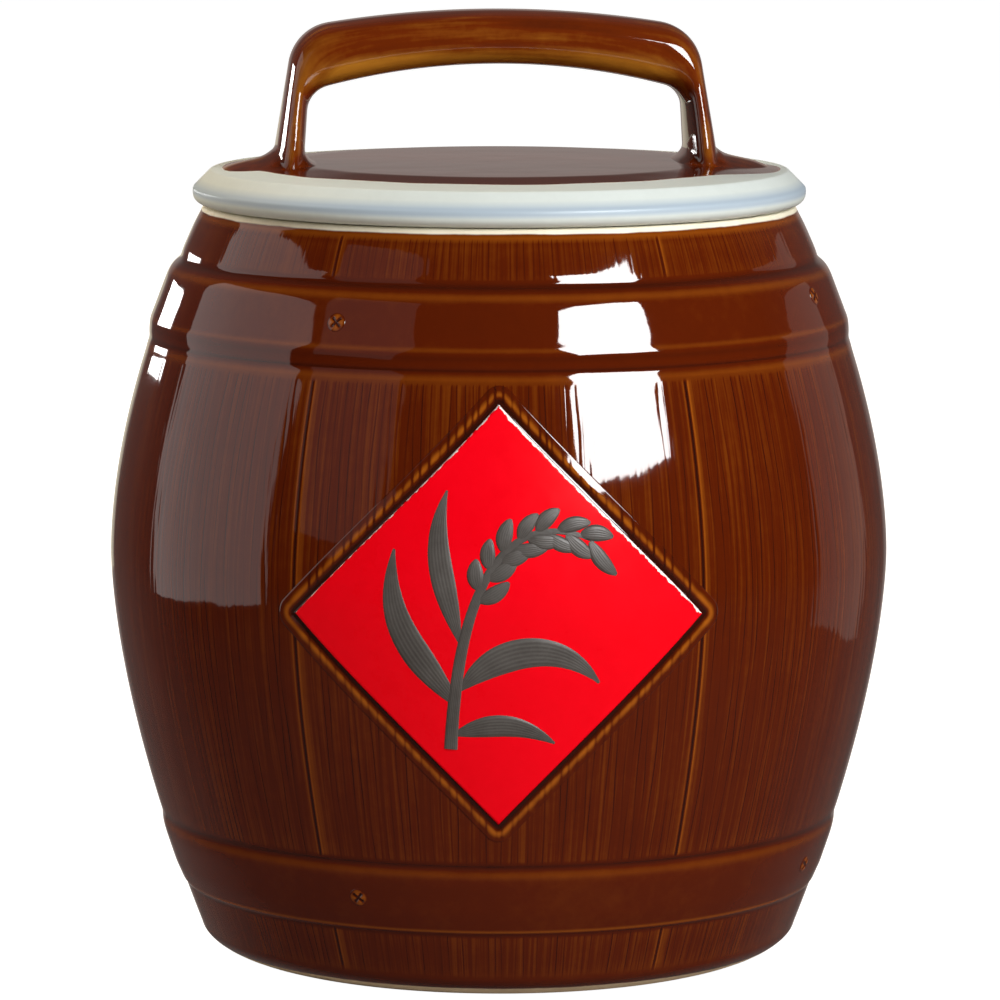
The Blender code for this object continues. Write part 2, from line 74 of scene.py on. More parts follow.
camera_data = bpy.data.cameras.new("camera")
camera_data.sensor_width = SENSOR_MM
camera_data.lens = SENSOR_MM * LENS_PIXELS / IMAGE_PIXELS
camera_data.clip_start, camera_data.clip_end = 0.1, 40
camera = bpy.data.objects.new("camera", camera_data)
camera.location = CAMERA_PLACE
camera.rotation_euler = (math.pi / 2 - CAMERA_TILT, CAMERA_ROLL, 0)
scene.collection.objects.link(camera)
scene.camera = camera
scene.view_settings.view_transform = "Standard"
print("lens", round(camera_data.lens, 1), "mm")

# %% [markdown]
# ## The studio
# A glossy glaze shows its room, so most of the look is in what it mirrors: one bright window high
# to the right, dim softboxes on both sides, and a small lamp and a dim screen behind the jar's left.
# One more light warms the lid's left rim and isn't mirrored. Each is a plain area light, set by the
# directions that it fills as seen from the jar.
# %% Area lights
LIGHT_TARGET = Vector((0, 0, 0.15))


def softbox(name, azimuths, elevations, distance, radiance, colour=(1, 1, 1), roll=0, mirrored=True):
    """A light that fills a range of azimuths (0 is the camera, + is right) and elevations."""
    azimuth, elevation = (math.radians(sum(pair) / 2) for pair in (azimuths, elevations))
    level = math.cos(elevation)
    away = Vector((math.sin(azimuth) * level, -math.cos(azimuth) * level, math.sin(elevation)))
    data = bpy.data.lights.new(name, "AREA")
    data.shape = "RECTANGLE"
    data.size = 2 * distance * math.tan(math.radians(azimuths[1] - azimuths[0]) / 2)
    data.size_y = 2 * distance * math.tan(math.radians(elevations[1] - elevations[0]) / 2)
    data.energy = radiance * math.pi * data.size * data.size_y
    data.color = colour
    light = bpy.data.objects.new(name, data)
    light.location = LIGHT_TARGET + away * distance
    light.rotation_mode = "QUATERNION"
    light.rotation_quaternion = away.to_track_quat("Z", "Y") @ Quaternion((0, 0, 1), math.radians(roll))
    light.visible_glossy = mirrored
    scene.collection.objects.link(light)
    print(name, round(data.size, 2), "x", round(data.size_y, 2), "m,", round(data.energy), "W")


softbox("window", (25, 51), (15.5, 38.3), 2.0, 19.0, roll=5)
softbox("left_softbox", (-121, -70), (-12.5, 33), 2.2, 0.80, (1.0, 0.95, 0.93))
softbox("left_fill", (-61, -33), (4, 42), 2.2, 0.19, (1.0, 0.9, 0.88))
softbox("far_left_lamp", (-150, -135.5), (4.0, 8.6), 2.4, 13.0, roll=15)
softbox("far_left_screen", (-174, -160), (-9, 1), 2.6, 0.4, (0.9, 0.88, 0.62))
softbox("rim_fill", (-160, -100), (20, 56), 2.2, 4.2, (1.0, 0.85, 0.63), mirrored=False)
softbox("right_softbox", (105, 134), (-15, 18), 2.2, 0.24, (1.0, 0.88, 0.8))

# %% [markdown]
# ## Shader nodes
# The room and every glaze are built from nodes. A few helpers make the kinds that come back often,
# so that each material below reads as a list of what it mixes.


# %% Node helpers
def fill(tree, made, inputs):
    """Sets each input of a node to a value, or links it to another node's output."""
    for key, value in (inputs or {}).items():
        if isinstance(value, bpy.types.NodeSocket):
            tree.links.new(value, made.inputs[key])
        else:
            made.inputs[key].default_value = value


def add(tree, kind, inputs=None, output=0, **settings):
    """A shader node with its settings and inputs. Gives one of its outputs, by number or name."""
    made = tree.nodes.new("ShaderNode" + kind)
    for key, value in settings.items():
        setattr(made, key, value)
    fill(tree, made, inputs)
    return made.outputs[output] if made.outputs else None


def ramp(tree, value, start, end, low=0.0, high=1.0):
    """Low where the value is at its start, high at its end, and held beyond both."""
    return add(tree, "MapRange", {0: value, 1: start, 2: end, 3: low, 4: high})


def reckon(tree, operation, *values):
    """One step of arithmetic."""
    return add(tree, "Math", dict(enumerate(values)), operation=operation)


def blend(tree, share, low, high):
    """A colour between two others."""
    return add(tree, "Mix", {0: share, 6: low, 7: high}, 2, data_type="RGBA")


def noise(tree, scale, detail, roughness=0.5, spot=None):
    """Cloud noise from 0 to 1, read at each place on the piece unless it is given another spot."""
    if spot is None:
        spot = add(tree, "TexCoord", output="Object")
    return add(tree, "TexNoise", {"Vector": spot, "Scale": scale, "Detail": detail, "Roughness": roughness})


def relief(tree, height, depth, **below):
    """A normal from a height, laid over the Normal below it if that is given."""
    return add(tree, "Bump", {"Height": height, "Strength": 1.0, "Distance": depth, **below})


def new_material(name):
    """A material with its tree and its Principled shader."""
    made = bpy.data.materials.new(name)
    made.use_nodes = True
    return made, made.node_tree, made.node_tree.nodes["Principled BSDF"]


# %% [markdown]
# ## The room
# The world is white for the camera and dim for everything else, brighter behind the jar than in
# front of it. The split is made with the Light Path node in the world, not in any glaze.
# %% World
ROOM_FRONT, ROOM_BACK, ROOM_WALL, ROOM_LOW = 0.012, 0.085, 0.26, 0.06
WHITE = (1, 1, 1, 1)

world = bpy.data.worlds.new("studio_room")
scene.world = world
world.use_nodes = True
room = world.node_tree
room.nodes.clear()
way = add(room, "TexCoord", output="Generated")
back, up = (add(room, "SeparateXYZ", {0: way}, axis) for axis in "YZ")
behind = ramp(room, back, 0.2, 0.8, ROOM_FRONT, ROOM_BACK)
below_top = ramp(room, up, 0.11, 0.20, 1.0, 0.0)
wall = reckon(room, "MULTIPLY", ramp(room, back, 0.93, 0.98, 0.0, ROOM_WALL), below_top)
low = ramp(room, up, -0.10, -0.45, 0.0, ROOM_LOW)
dim = reckon(room, "ADD", reckon(room, "ADD", behind, wall), low)
seen = add(room, "LightPath", output="Is Camera Ray")
level = add(room, "Mix", {0: seen, 2: dim, 3: 1.0})
tint = blend(room, seen, (1, 0.86, 0.80, 1), WHITE)
add(room, "OutputWorld", {"Surface": add(room, "Background", {"Color": tint, "Strength": level})})

# %% [markdown]
# ## The floor
# A white paper sweep. It glows for the camera only, so that it is white to the edge of the picture
# and yet throws little light up at the jar, whose foot is darker than its shoulder.
# %% Floor
FLOOR_HALF, FLOOR_FAR = 9, 16
floor_mesh = bpy.data.meshes.new("floor")
floor_corners = [(x, y, 0) for x, y in (
    (-FLOOR_HALF, -FLOOR_HALF), (FLOOR_HALF, -FLOOR_HALF), (FLOOR_HALF, FLOOR_FAR), (-FLOOR_HALF, FLOOR_FAR),
)]
floor_mesh.from_pydata(floor_corners, [], [(0, 1, 2, 3)])
floor = bpy.data.objects.new("floor", floor_mesh)
scene.collection.objects.link(floor)
floor.visible_glossy = False
floor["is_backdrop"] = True

paper, tree, shader = new_material("white_paper")
fill(tree, shader, {
    "Base Color": (0.42, 0.39, 0.355, 1),
    "Roughness": 0.9,
    "Specular IOR Level": 0.0,
    "Emission Color": WHITE,
    "Emission Strength": add(tree, "LightPath", output="Is Camera Ray"),
})
floor_mesh.materials.append(paper)

# %% [markdown]
# ## The sizes of the casting
# These are the sizes that the solids were made from, so that each fine surface lies on its solid.
# %% Sizes of the barrel
BELLY_RADIUS, BELLY_HEIGHT = 0.1400, 0.1440
JAR_HEIGHT, LIP_RADIUS, MOUTH_RADIUS, LIP_ROUND, MOUTH_LAND = 0.2688, 0.1064, 0.0975, 0.0014, 0.0095
SHOULDER_HEIGHT, SHOULDER_RADIUS, SHOULDER_POWER = 0.2620, 0.1094, 1.77
FOOT_RADIUS, RECESS_RADIUS, FOOT_RECESS = 0.0926, 0.0836, 0.0025
FOOT_CURL_HEIGHT, FOOT_CURL_POWER = 0.0090, 1.65
WAIST_HEIGHT, WAIST_RADIUS, WAIST_POWER = 0.0120, 0.1091, 1.62
WALL, FLOOR_HEIGHT, FLOOR_CORNER = 0.0085, 0.0105, 0.0160
LOWER_HOOP_HEIGHT, LOWER_HOOP_TOP = 0.0252, 0.0512
UPPER_HOOP_HEIGHT, UPPER_HOOP_TOP = 0.2180, 0.2514
STAVE_COUNT = 6
JOINT_PITCH = math.tau / STAVE_COUNT
STAVE_ZONES = (
    (FOOT_CURL_HEIGHT, LOWER_HOOP_HEIGHT),
    (LOWER_HOOP_TOP, UPPER_HOOP_HEIGHT),
    (UPPER_HOOP_TOP, SHOULDER_HEIGHT),
)
CREST_ROOM = 0.00012


def stave_radius(height):
    """The outer face of the staves at a height or an array of heights."""
    height = np.asarray(height, float)
    low = np.clip((BELLY_HEIGHT - height) / (BELLY_HEIGHT - WAIST_HEIGHT), 0, None)
    high = np.clip((height - BELLY_HEIGHT) / (SHOULDER_HEIGHT - BELLY_HEIGHT), 0, None)
    below = BELLY_RADIUS - (BELLY_RADIUS - WAIST_RADIUS) * low**WAIST_POWER
    above = BELLY_RADIUS - (BELLY_RADIUS - SHOULDER_RADIUS) * high**SHOULDER_POWER
    return np.where(height < BELLY_HEIGHT, below, above) - CREST_ROOM


print("belly", float(stave_radius(BELLY_HEIGHT)), "m")

# %% [markdown]
# ## Profiles of the turned forms
# The barrel, the lid and the ring are all turned forms. Each starts as a half section of straight
# lines and quarter ellipses. Glaze rounds every corner, so the section is cut into fine even steps
# and softened. Rows of the mesh are then spent where the section bends, and few elsewhere.
# %% Half sections
SHARE_SPREAD, RIDGE_REACH, ROW_SPREAD, WIDEST_ROW = 0.0015, 0.0016, 0.0008, 0.02


def quarter(start, end, bulge_right, steps=12, power=2.0):
    """A quarter ellipse between two (radius, height) points, its first left out."""
    turn = 0.5 * math.pi * np.arange(1, steps + 1) / steps
    rising, falling = np.sin(turn) ** (2 / power), 1 - np.abs(np.cos(turn)) ** (2 / power)
    shares = zip(rising, falling) if bulge_right else zip(falling, rising)
    return [(start[0] + (end[0] - start[0]) * a, start[1] + (end[1] - start[1]) * b) for a, b in shares]


def soften(values, reach, step):
    """Gaussian smoothing of values at even steps, with the ends held."""
    count = max(1, int(3 * reach / step))
    weights = np.exp(-0.5 * (np.arange(-count, count + 1) * step / reach) ** 2)
    weights /= weights.sum()
    values = np.asarray(values, float)
    flat = values.reshape(len(values), -1)
    head, tail = 2 * flat[0] - flat[count:0:-1], 2 * flat[-1] - flat[-2 : -count - 2 : -1]
    padded = np.concatenate([head, flat, tail])
    softer = [np.convolve(column, weights, "valid") for column in padded.T]
    return np.column_stack(softer).reshape(values.shape)


class Section:
    """A softened half section: places along it, their outward normals, and how far each is a ridge."""

    def __init__(self, corners, soft, step=0.0001, softer=None, between=None):
        corners = np.array(corners, float)
        along = np.concatenate([[0], np.cumsum(np.hypot(*np.diff(corners, axis=0).T))])
        self.at = np.linspace(0, along[-1], int(along[-1] / step) + 1)
        step = self.at[1]
        sharp = np.column_stack([np.interp(self.at, along, column) for column in corners.T])
        self.path = soften(sharp, soft, step)
        if softer:
            share = ((sharp[:, 1] > between[0]) & (sharp[:, 1] < between[1])).astype(float)[:, None]
            share = soften(share, SHARE_SPREAD, step)
            self.path = self.path * (1 - share) + soften(sharp, softer, step) * share
        tangent = np.gradient(self.path, self.at, axis=0)
        tangent /= np.hypot(*tangent.T)[:, None]
        self.normal = np.column_stack([tangent[:, 1], -tangent[:, 0]])
        turn = np.unwrap(np.arctan2(tangent[:, 1], tangent[:, 0]))
        self.bend = np.abs(np.gradient(turn, self.at))
        self.ridge = ((self.path - soften(self.path, RIDGE_REACH, step)) * self.normal).sum(1)

    def rows(self, widest, turn_per_row=0.14):
        """Places along the section for mesh rows, closer together where it bends."""
        density = np.maximum(1 / np.broadcast_to(widest, self.at.shape), self.bend / turn_per_row)
        density = np.maximum(soften(density, ROW_SPREAD, self.at[1]), 1 / WIDEST_ROW)
        total = np.concatenate([[0], np.cumsum(0.5 * (density[1:] + density[:-1]) * np.diff(self.at))])
        return np.interp(np.linspace(0, total[-1], int(math.ceil(total[-1])) + 1), total, self.at)

    def sample(self, rows):
        """(radius, height), normal and ridge at the rows."""
        columns = (*self.path.T, *self.normal.T, self.ridge)
        radius, height, outward, upward, ridge = (np.interp(rows, self.at, values) for values in columns)
        return np.column_stack([radius, height]), np.column_stack([outward, upward]), ridge


# %% [markdown]
# ## Hoops
# On the plaster mould the hoops are plain bands with a rounded shoulder above and a groove where
# they meet the staves. The upper one also has a low strip, a slope and a fine bead below it. Each
# is a list of (rise, how far it stands out) marks laid on the curve of the staves.
# %% Hoop marks
HOOP_STEP, HOOP_SHOULDER, HOOP_GROOVE = 0.0007, 0.0052, 0.0008
LOWER_BAND, LOWER_PROUD, LOWER_GROOVE, LOWER_LONGER = 0.0170, 0.0011, 0.0003, 0.0020
UPPER_BAND_RISE, UPPER_BAND, UPPER_PROUD = 0.0112, 0.0152, 0.0021


def shoulder_marks(rise, proud, length=HOOP_SHOULDER, groove=HOOP_GROOVE):
    """The round shoulder of a hoop, down into the groove above it."""
    turns = 0.5 * math.pi * np.arange(13) / 12
    return [(rise + length * math.sin(t), proud - (proud + groove) * (1 - math.cos(t))) for t in turns]


def hoop_line(height, marks):
    """Marks as (radius, height) points on the curve of the staves."""
    return [(float(stave_radius(height + rise)) + out, height + rise) for rise, out in marks]


def stave_line(low, high, count):
    """The face of the staves between two heights, its first point left out."""
    return [(float(stave_radius(z)), z) for z in np.linspace(low, high, count)[1:]]


lower_marks = [(HOOP_STEP, 0.5 * LOWER_PROUD), (0.4 * LOWER_BAND, LOWER_PROUD)]
lower_marks += shoulder_marks(LOWER_BAND, LOWER_PROUD, HOOP_SHOULDER + LOWER_LONGER, LOWER_GROOVE)
lower_marks += [(LOWER_HOOP_TOP - LOWER_HOOP_HEIGHT, 0)]
upper_marks = [(0.0007, 0.0002), (0.0030, 0.0002), (0.0037, -0.0003), (0.0044, 0.0007), (0.0090, 0.0019)]
upper_marks += [(0.00955, 0.00215), (0.0101, 0.0023), (0.01065, 0.00225), (0.0112, 0.0021)]
upper_marks += shoulder_marks(UPPER_BAND_RISE + UPPER_BAND, UPPER_PROUD)
upper_marks += [(UPPER_HOOP_TOP - UPPER_HOOP_HEIGHT, 0)]

# %% [markdown]
# The outside runs from the recess under the foot, over the staves and both hoops, to the lip and a
# little way into the mouth.
# %% Barrel section
GLAZE_SOFT, RELIEF_SOFT, RELIEF_ZONE = 0.0005, 0.0014, (0.036, 0.2605)

foot_edge = (FOOT_RADIUS, 0.0002)
curl_end = (float(stave_radius(FOOT_CURL_HEIGHT)), FOOT_CURL_HEIGHT)
outer_corners = [(RECESS_RADIUS - 0.0022, 0.0022), (RECESS_RADIUS, 0.0003)]
outer_corners += [(FOOT_RADIUS - 0.0006, 0.0), foot_edge]
outer_corners += quarter(foot_edge, curl_end, True, power=FOOT_CURL_POWER)
outer_corners += stave_line(*STAVE_ZONES[0], 12) + hoop_line(LOWER_HOOP_HEIGHT, lower_marks)
outer_corners += stave_line(*STAVE_ZONES[1], 90) + hoop_line(UPPER_HOOP_HEIGHT, upper_marks)
outer_corners += stave_line(*STAVE_ZONES[2], 10)
outer_corners += [(LIP_RADIUS, JAR_HEIGHT - LIP_ROUND)]
outer_corners += quarter(outer_corners[-1], (LIP_RADIUS - LIP_ROUND, JAR_HEIGHT), False, 6)
outer_corners += [(MOUTH_RADIUS + LIP_ROUND, JAR_HEIGHT)]
outer_corners += quarter(outer_corners[-1], (MOUTH_RADIUS, JAR_HEIGHT - LIP_ROUND), True, 6)
outer_corners += [(MOUTH_RADIUS, JAR_HEIGHT - MOUTH_LAND)]
barrel_section = Section(outer_corners, GLAZE_SOFT, softer=RELIEF_SOFT, between=RELIEF_ZONE)
print("barrel section", round(float(barrel_section.at[-1]), 3), "m round")

# %% [markdown]
# ## Grids
# Nearly every surface here is a grid of points, so one helper turns a grid into a piece. It also
# takes the true normals, because a glossy glaze shows any facet, and marks such as how thin the
# glaze is.
# %% Grid helper
RIDGE_FULL, AXIS_ROOM = 0.00024, 1e-6


def set_mark(mesh, label, values, kind="FLOAT", field="value"):
    """A value or vector at each point of a mesh, which its material reads."""
    mark = mesh.attributes.new(label, kind, "POINT")
    mark.data.foreach_set(field, values.astype(np.float32).ravel())


def grid_piece(name, points, normals=None, marks=None, around=True):
    """A smooth piece from points shaped (rows, columns, 3). Around joins the last column to the first."""
    rows, columns = points.shape[:2]
    index = np.arange(rows * columns).reshape(rows, columns)
    right = np.roll(index, -1, axis=1) if around else index[:, 1:]
    left = index if around else index[:, :-1]
    quads = np.stack([left[:-1], right[:-1], right[1:], left[1:]], axis=-1).reshape(-1, 4)
    mesh = bpy.data.meshes.new(name)
    mesh.vertices.add(rows * columns)
    mesh.vertices.foreach_set("co", np.ascontiguousarray(points, np.float32).ravel())
    mesh.loops.add(quads.size)
    mesh.loops.foreach_set("vertex_index", quads.astype(np.int32).ravel())
    mesh.polygons.add(len(quads))
    mesh.polygons.foreach_set("loop_start", np.arange(0, quads.size, 4, dtype=np.int32))
    mesh.update(calc_edges=True)
    mesh.shade_smooth()
    for label, values in (marks or {}).items():
        set_mark(mesh, label, np.broadcast_to(values, (rows, columns)))
    if normals is not None:
        mesh.normals_split_custom_set_from_vertices(normals.reshape(-1, 3).tolist())
    piece = bpy.data.objects.new(name, mesh)
    scene.collection.objects.link(piece)
    print(name, len(quads), "faces")
    return piece


def turned_points(radii, heights, angles):
    """Grid points of a turned form. Angles are from the front towards the right."""
    heights = np.broadcast_to(heights, angles.shape)
    return np.stack([radii * np.sin(angles), -radii * np.cos(angles), heights], axis=-1)


def turned_piece(name, section, rows, columns, marks=None):
    """A piece turned from a section, with true normals."""
    places, normal, ridge = section.sample(rows)
    angles = np.broadcast_to(np.arange(columns) * math.tau / columns, (len(rows), columns))
    points = turned_points(np.maximum(places[:, :1], AXIS_ROOM), places[:, 1:], angles)
    directions = turned_points(normal[:, :1], normal[:, 1:], angles)
    thin = 0.5 + np.clip(ridge[:, None] / RIDGE_FULL, -0.5, 0.5)
    given = marks(places, angles) if marks else {}
    return grid_piece(name, points, directions, {"thin": thin, **given})


# %% [markdown]
# ## Grain and stave joints
# The mould was carved like wood: dark hairlines run up every board, a few millimetres apart, and a
# deeper groove parts one board from the next. The glaze has run in and left only a shallow dip over
# each. The mesh gets columns exactly on each line, one on its floor and one on each bank.
# %% Columns of the barrel
LINE_HALF_WIDTH, LINE_GAPS, STAVE_EDGE = 0.00038, (0.0021, 0.0037), 0.0052
JOINT_MARKS = (  # the way across the joint, how deep it is, and how thin the glaze is there
    (-0.0034, 0.0, 0.5), (-0.0016, 0.0, 0.54), (-0.0010, 0.0, 0.72), (-0.0006, 0.00002, 0.36),
    (-0.00025, 0.00006, 0.03), (0.00025, 0.00006, 0.03), (0.0006, 0.00002, 0.36), (0.0010, 0.0, 0.84),
    (0.0018, 0.0, 0.60), (0.0034, 0.0, 0.5),
)
seeds = np.random.default_rng(41)
columns = []  # angle, line number or -1, depth and slope share of the line, joint's depth and thinness
line_angles = []
for stave in range(STAVE_COUNT):
    middle = stave * JOINT_PITCH
    for offset, depth, thinness in JOINT_MARKS:
        columns.append((middle + 0.5 * JOINT_PITCH + offset / BELLY_RADIUS, -1, 0, 0, depth, thinness))
    half = 0.5 * JOINT_PITCH * BELLY_RADIUS - STAVE_EDGE
    place = -half + seeds.uniform(0, 0.001)
    while place < half:
        number = len(line_angles)
        line_angles.append(middle + place / BELLY_RADIUS)
        for offset in (-1, 0, 1):
            at = middle + (place + offset * LINE_HALF_WIDTH) / BELLY_RADIUS
            columns.append((at, number, 1 - abs(offset), 0.5 * offset, 0, 0.5))
        place += seeds.uniform(*LINE_GAPS)
columns = np.array(sorted(columns))
line_angles = np.array(line_angles)
print(len(line_angles), "grain lines,", len(columns), "columns")

# %% [markdown]
# A line wanders a little as it goes up, and it is cut deeper in some places than in others.
# %% How the lines run
WAVES_LEAST, WAVES_MOST = [0.05, 0, 0.02, 0, 0], [0.11, math.tau, 0.05, math.tau, 1]
LINE_DEPTHS, SLOW_WANDER, QUICK_WANDER = (0.000012, 0.000030), 0.00034, 0.00010
line_waves = seeds.uniform(WAVES_LEAST, WAVES_MOST, (len(line_angles), 5))
line_depths = seeds.uniform(*LINE_DEPTHS, len(line_angles))


def line_wander(lines, heights):
    """How far each line is from its straight course, as an angle."""
    wave = line_waves[lines]
    slow = np.sin(math.tau * heights / wave[..., 0] + wave[..., 1])
    quick = np.sin(math.tau * heights / wave[..., 2] + wave[..., 3])
    return (SLOW_WANDER * slow + QUICK_WANDER * quick) / BELLY_RADIUS


def line_strength(lines, heights):
    """How deep each line is at a height, from 0 to 1."""
    wave = line_waves[lines]
    slow = np.sin(math.tau * heights / (1.7 * wave[..., 0]) + 5 * wave[..., 4])
    quick = np.sin(math.tau * heights / (2.3 * wave[..., 2]) + wave[..., 1])
    return np.clip(0.62 + 0.55 * slow * quick, 0.08, 1)


# %% [markdown]
# ## The panel's place
# The red panel is a diamond laid out flat, then wrapped on the belly. The barrel's wall is let in
# under it, behind its frame, so that the panel and frame can be their own fine surfaces.
# %% Wrap on the belly
PANEL_CENTRE_HEIGHT, PANEL_HALF_WIDTH, PANEL_HALF_HEIGHT = 0.1388, 0.0730, 0.0725
PANEL_SIDE = math.hypot(PANEL_HALF_WIDTH, PANEL_HALF_HEIGHT)
POCKET_DEPTH, POCKET_BANK = 0.0016, (0.0043, 0.0031)


def on_belly(across, up, out):
    """Points of the flat layout wrapped on the staves and moved outwards."""
    angle = np.asarray(across) / BELLY_RADIUS
    height = PANEL_CENTRE_HEIGHT + np.asarray(up)
    return turned_points(stave_radius(height) + CREST_ROOM + out, height, angle)


def outside_panel(across, up):
    """How far a flat place lies outside the panel's edge."""
    reach = np.abs(across) * PANEL_HALF_HEIGHT + np.abs(up) * PANEL_HALF_WIDTH
    return (reach - PANEL_HALF_WIDTH * PANEL_HALF_HEIGHT) / PANEL_SIDE


def smooth_between(low, high, values):
    """0 at low, 1 at high, with a soft start and end."""
    share = np.clip((values - low) / (high - low), 0, 1)
    return share * share * (3 - 2 * share)


# %% [markdown]
# The rows of the barrel come closer together where the glaze changes tone: thin and amber on the
# crests of the hoops, pooled and dark in their grooves. The grain lies only on the staves.
# %% Rows of the barrel
GLAZE_BANDS = (  # height, reach, and how much thinner the glaze is
    (0.2495, 0.0012, -0.30), (0.2462, 0.0013, 0.17), (0.2290, 0.0008, 0.13), (0.2262, 0.0011, -0.14),
    (0.2222, 0.0006, -0.30), (0.2192, 0.0012, 0.16), (0.0508, 0.0010, -0.34), (0.0475, 0.0014, 0.12),
    (0.0263, 0.0005, 0.30), (0.0249, 0.0007, -0.22), (0.2656, 0.0012, 0.26),
)
BELLY_ROW, OTHER_ROW, GRAIN_FADE, END_GLOW_REACH = 0.0018, 0.0022, 0.0014, 0.0040
FOOT_RUN, MIDDLE_RUN, FOOT_STEPS = 0.011, (0.1, 0.2), 30
LIP_TOP_RADIUS, STAVE_TOP, TOP_GRAIN = MOUTH_RADIUS + 0.006, JAR_HEIGHT - 0.0034, 0.7

radii, heights = barrel_section.path.T
on_wall = (np.arange(len(radii)) > FOOT_STEPS) & (heights < SHOULDER_HEIGHT + 0.001)
on_wall &= radii > WAIST_RADIUS - 0.03
belly_part = on_wall & (heights > LOWER_HOOP_TOP) & (heights < UPPER_HOOP_HEIGHT)
widest = np.where(belly_part, BELLY_ROW, OTHER_ROW)
for middle, reach, _ in GLAZE_BANDS:
    near_band = on_wall & (np.abs(heights - middle) < 2 * reach)
    widest = np.where(near_band, np.minimum(widest, 0.6 * reach), widest)
rows = barrel_section.rows(widest)
wall, wall_normal, _ = barrel_section.sample(rows)
runs, radius, height = rows[:, None], wall[:, :1], wall[:, 1:]
outer_row = (runs > FOOT_RUN) & (radius > LIP_TOP_RADIUS)

grain_row, end_glow = np.zeros_like(height), np.zeros_like(height)
for low, high in STAVE_ZONES:
    topmost = high == SHOULDER_HEIGHT
    top = STAVE_TOP if topmost else high
    inside = smooth_between(low, low + GRAIN_FADE, height) * smooth_between(-top, -top + GRAIN_FADE, -height)
    grain_row = np.maximum(grain_row, inside * outer_row * (TOP_GRAIN if topmost else 1))
    near_end = np.minimum(height - low, high - height)
    end_glow = np.maximum(end_glow, (near_end > 0) * np.exp(-near_end / END_GLOW_REACH) * outer_row)
print(len(rows), "rows")

# %% [markdown]
# The lines and joints are cut into the grid, and the normals lean with their banks, so that even a
# shallow line catches the light. The wall stays bare clay at the lip and in a thin rim at the foot.
# %% Barrel grid
LIP_GLAZE_END, FOOT_GLAZE_END, FOOT_TOP, BARE, COVERED = 0.2669, 0.0042, 0.02, 0.006, -0.01
END_THINNER, LINE_THICKER, JOINT_MIDDLE = 0.05, 0.42, 0.495

angle, line, line_depth, line_slope, joint_depth, joint_thin = columns.T[:, None]
number = np.broadcast_to(line.astype(int), (len(rows), len(columns)))
tall = np.broadcast_to(height, number.shape)
is_line = number >= 0
safe = np.where(is_line, number, 0)
strength = np.where(is_line, line_strength(safe, tall), 0) * grain_row
angles = angle + np.where(is_line, line_wander(safe, tall), 0)
joint_lean = np.gradient(columns[:, 4], columns[:, 0] * BELLY_RADIUS)
cut = strength * line_depth * line_depths[safe] + joint_depth * grain_row
lean = strength * line_slope * line_depths[safe] / LINE_HALF_WIDTH - 0.5 * joint_lean * grain_row

across = (np.mod(angles + math.pi, math.tau) - math.pi) * BELLY_RADIUS
pocket = smooth_between(*POCKET_BANK, outside_panel(across, tall - PANEL_CENTRE_HEIGHT)) * outer_row
points = turned_points(radius - cut - POCKET_DEPTH * pocket, height, angles)
directions = turned_points(wall_normal[:, :1], wall_normal[:, 1:], angles)
directions -= np.stack([np.cos(angles), np.sin(angles), np.zeros_like(angles)], axis=-1) * lean[..., None]
directions /= np.linalg.norm(directions, axis=-1, keepdims=True)

thin = 0.5 + END_THINNER * end_glow - LINE_THICKER * strength * line_depth
thin = thin + (joint_thin - JOINT_MIDDLE) * grain_row
for middle, reach, amount in GLAZE_BANDS:
    thin = thin + amount * np.exp(-(((height - middle) / reach) ** 2)) * outer_row
lip_side = np.where(radius < LIP_TOP_RADIUS, BARE, height - LIP_GLAZE_END)
lip_side = np.where(runs > MIDDLE_RUN[1], lip_side, COVERED)
foot_side = np.where(runs < MIDDLE_RUN[0], FOOT_GLAZE_END - height, COVERED)
barrel = grid_piece("barrel", points, directions, {
    "thin": thin,
    "grain": grain_row,
    "bare_mm": 1000 * np.maximum(lip_side, foot_side),
    "foot": height < FOOT_TOP,
})
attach(barrel, "jar")
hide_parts("jar_body")

# %% [markdown]
# ## Inside and underneath
# The inside is poured full of a pale glaze and emptied, so it is smooth and even. The base is bare
# clay with a shallow recess, which keeps the jar steady on its ring.
# %% Inside and base
INNER_COLUMNS, INNER_ROW, INNER_SOFT, BASE_SOFT = 160, 0.006, 0.0012, 0.0003
mouth_foot = JAR_HEIGHT - MOUTH_LAND
throat = mouth_foot - 1.3 * WALL
inner_corners = [(MOUTH_RADIUS, mouth_foot + 0.0006), (MOUTH_RADIUS, mouth_foot)]
inner_heights = np.linspace(throat, FLOOR_HEIGHT + FLOOR_CORNER, 60)
inner_corners += [(float(stave_radius(z)) - WALL, z) for z in inner_heights]
inner_corners += quarter(inner_corners[-1], (inner_corners[-1][0] - FLOOR_CORNER, FLOOR_HEIGHT), False)
inner_corners += [(0.0, FLOOR_HEIGHT)]
inner_section = Section(inner_corners, INNER_SOFT)
inside = turned_piece("barrel_inside", inner_section, inner_section.rows(INNER_ROW), INNER_COLUMNS)
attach(inside, "jar")

base_corners = [(0.0, FOOT_RECESS), (RECESS_RADIUS - 0.0026, FOOT_RECESS), (RECESS_RADIUS - 0.0018, 0.0018)]
base_section = Section(base_corners, BASE_SOFT)
base = turned_piece("barrel_base", base_section, base_section.rows(INNER_ROW), INNER_COLUMNS)
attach(base, "jar")

# %% [markdown]
# ## Glaze effects shared by the pieces
# One brown glaze covers the barrel, the lid's top and the handle, so its effects are node groups
# that each material places with its own values. The first breaks the colour: the glaze is dark
# where it pools in a groove, red-brown where it lies even, and amber where it runs thin on an edge.
# %% Group: glaze tone
POOLED, EVEN, THIN = (0.026, 0.0044, 0.0022, 1), (0.094, 0.0108, 0.0012, 1), (0.34, 0.088, 0.0060, 1)


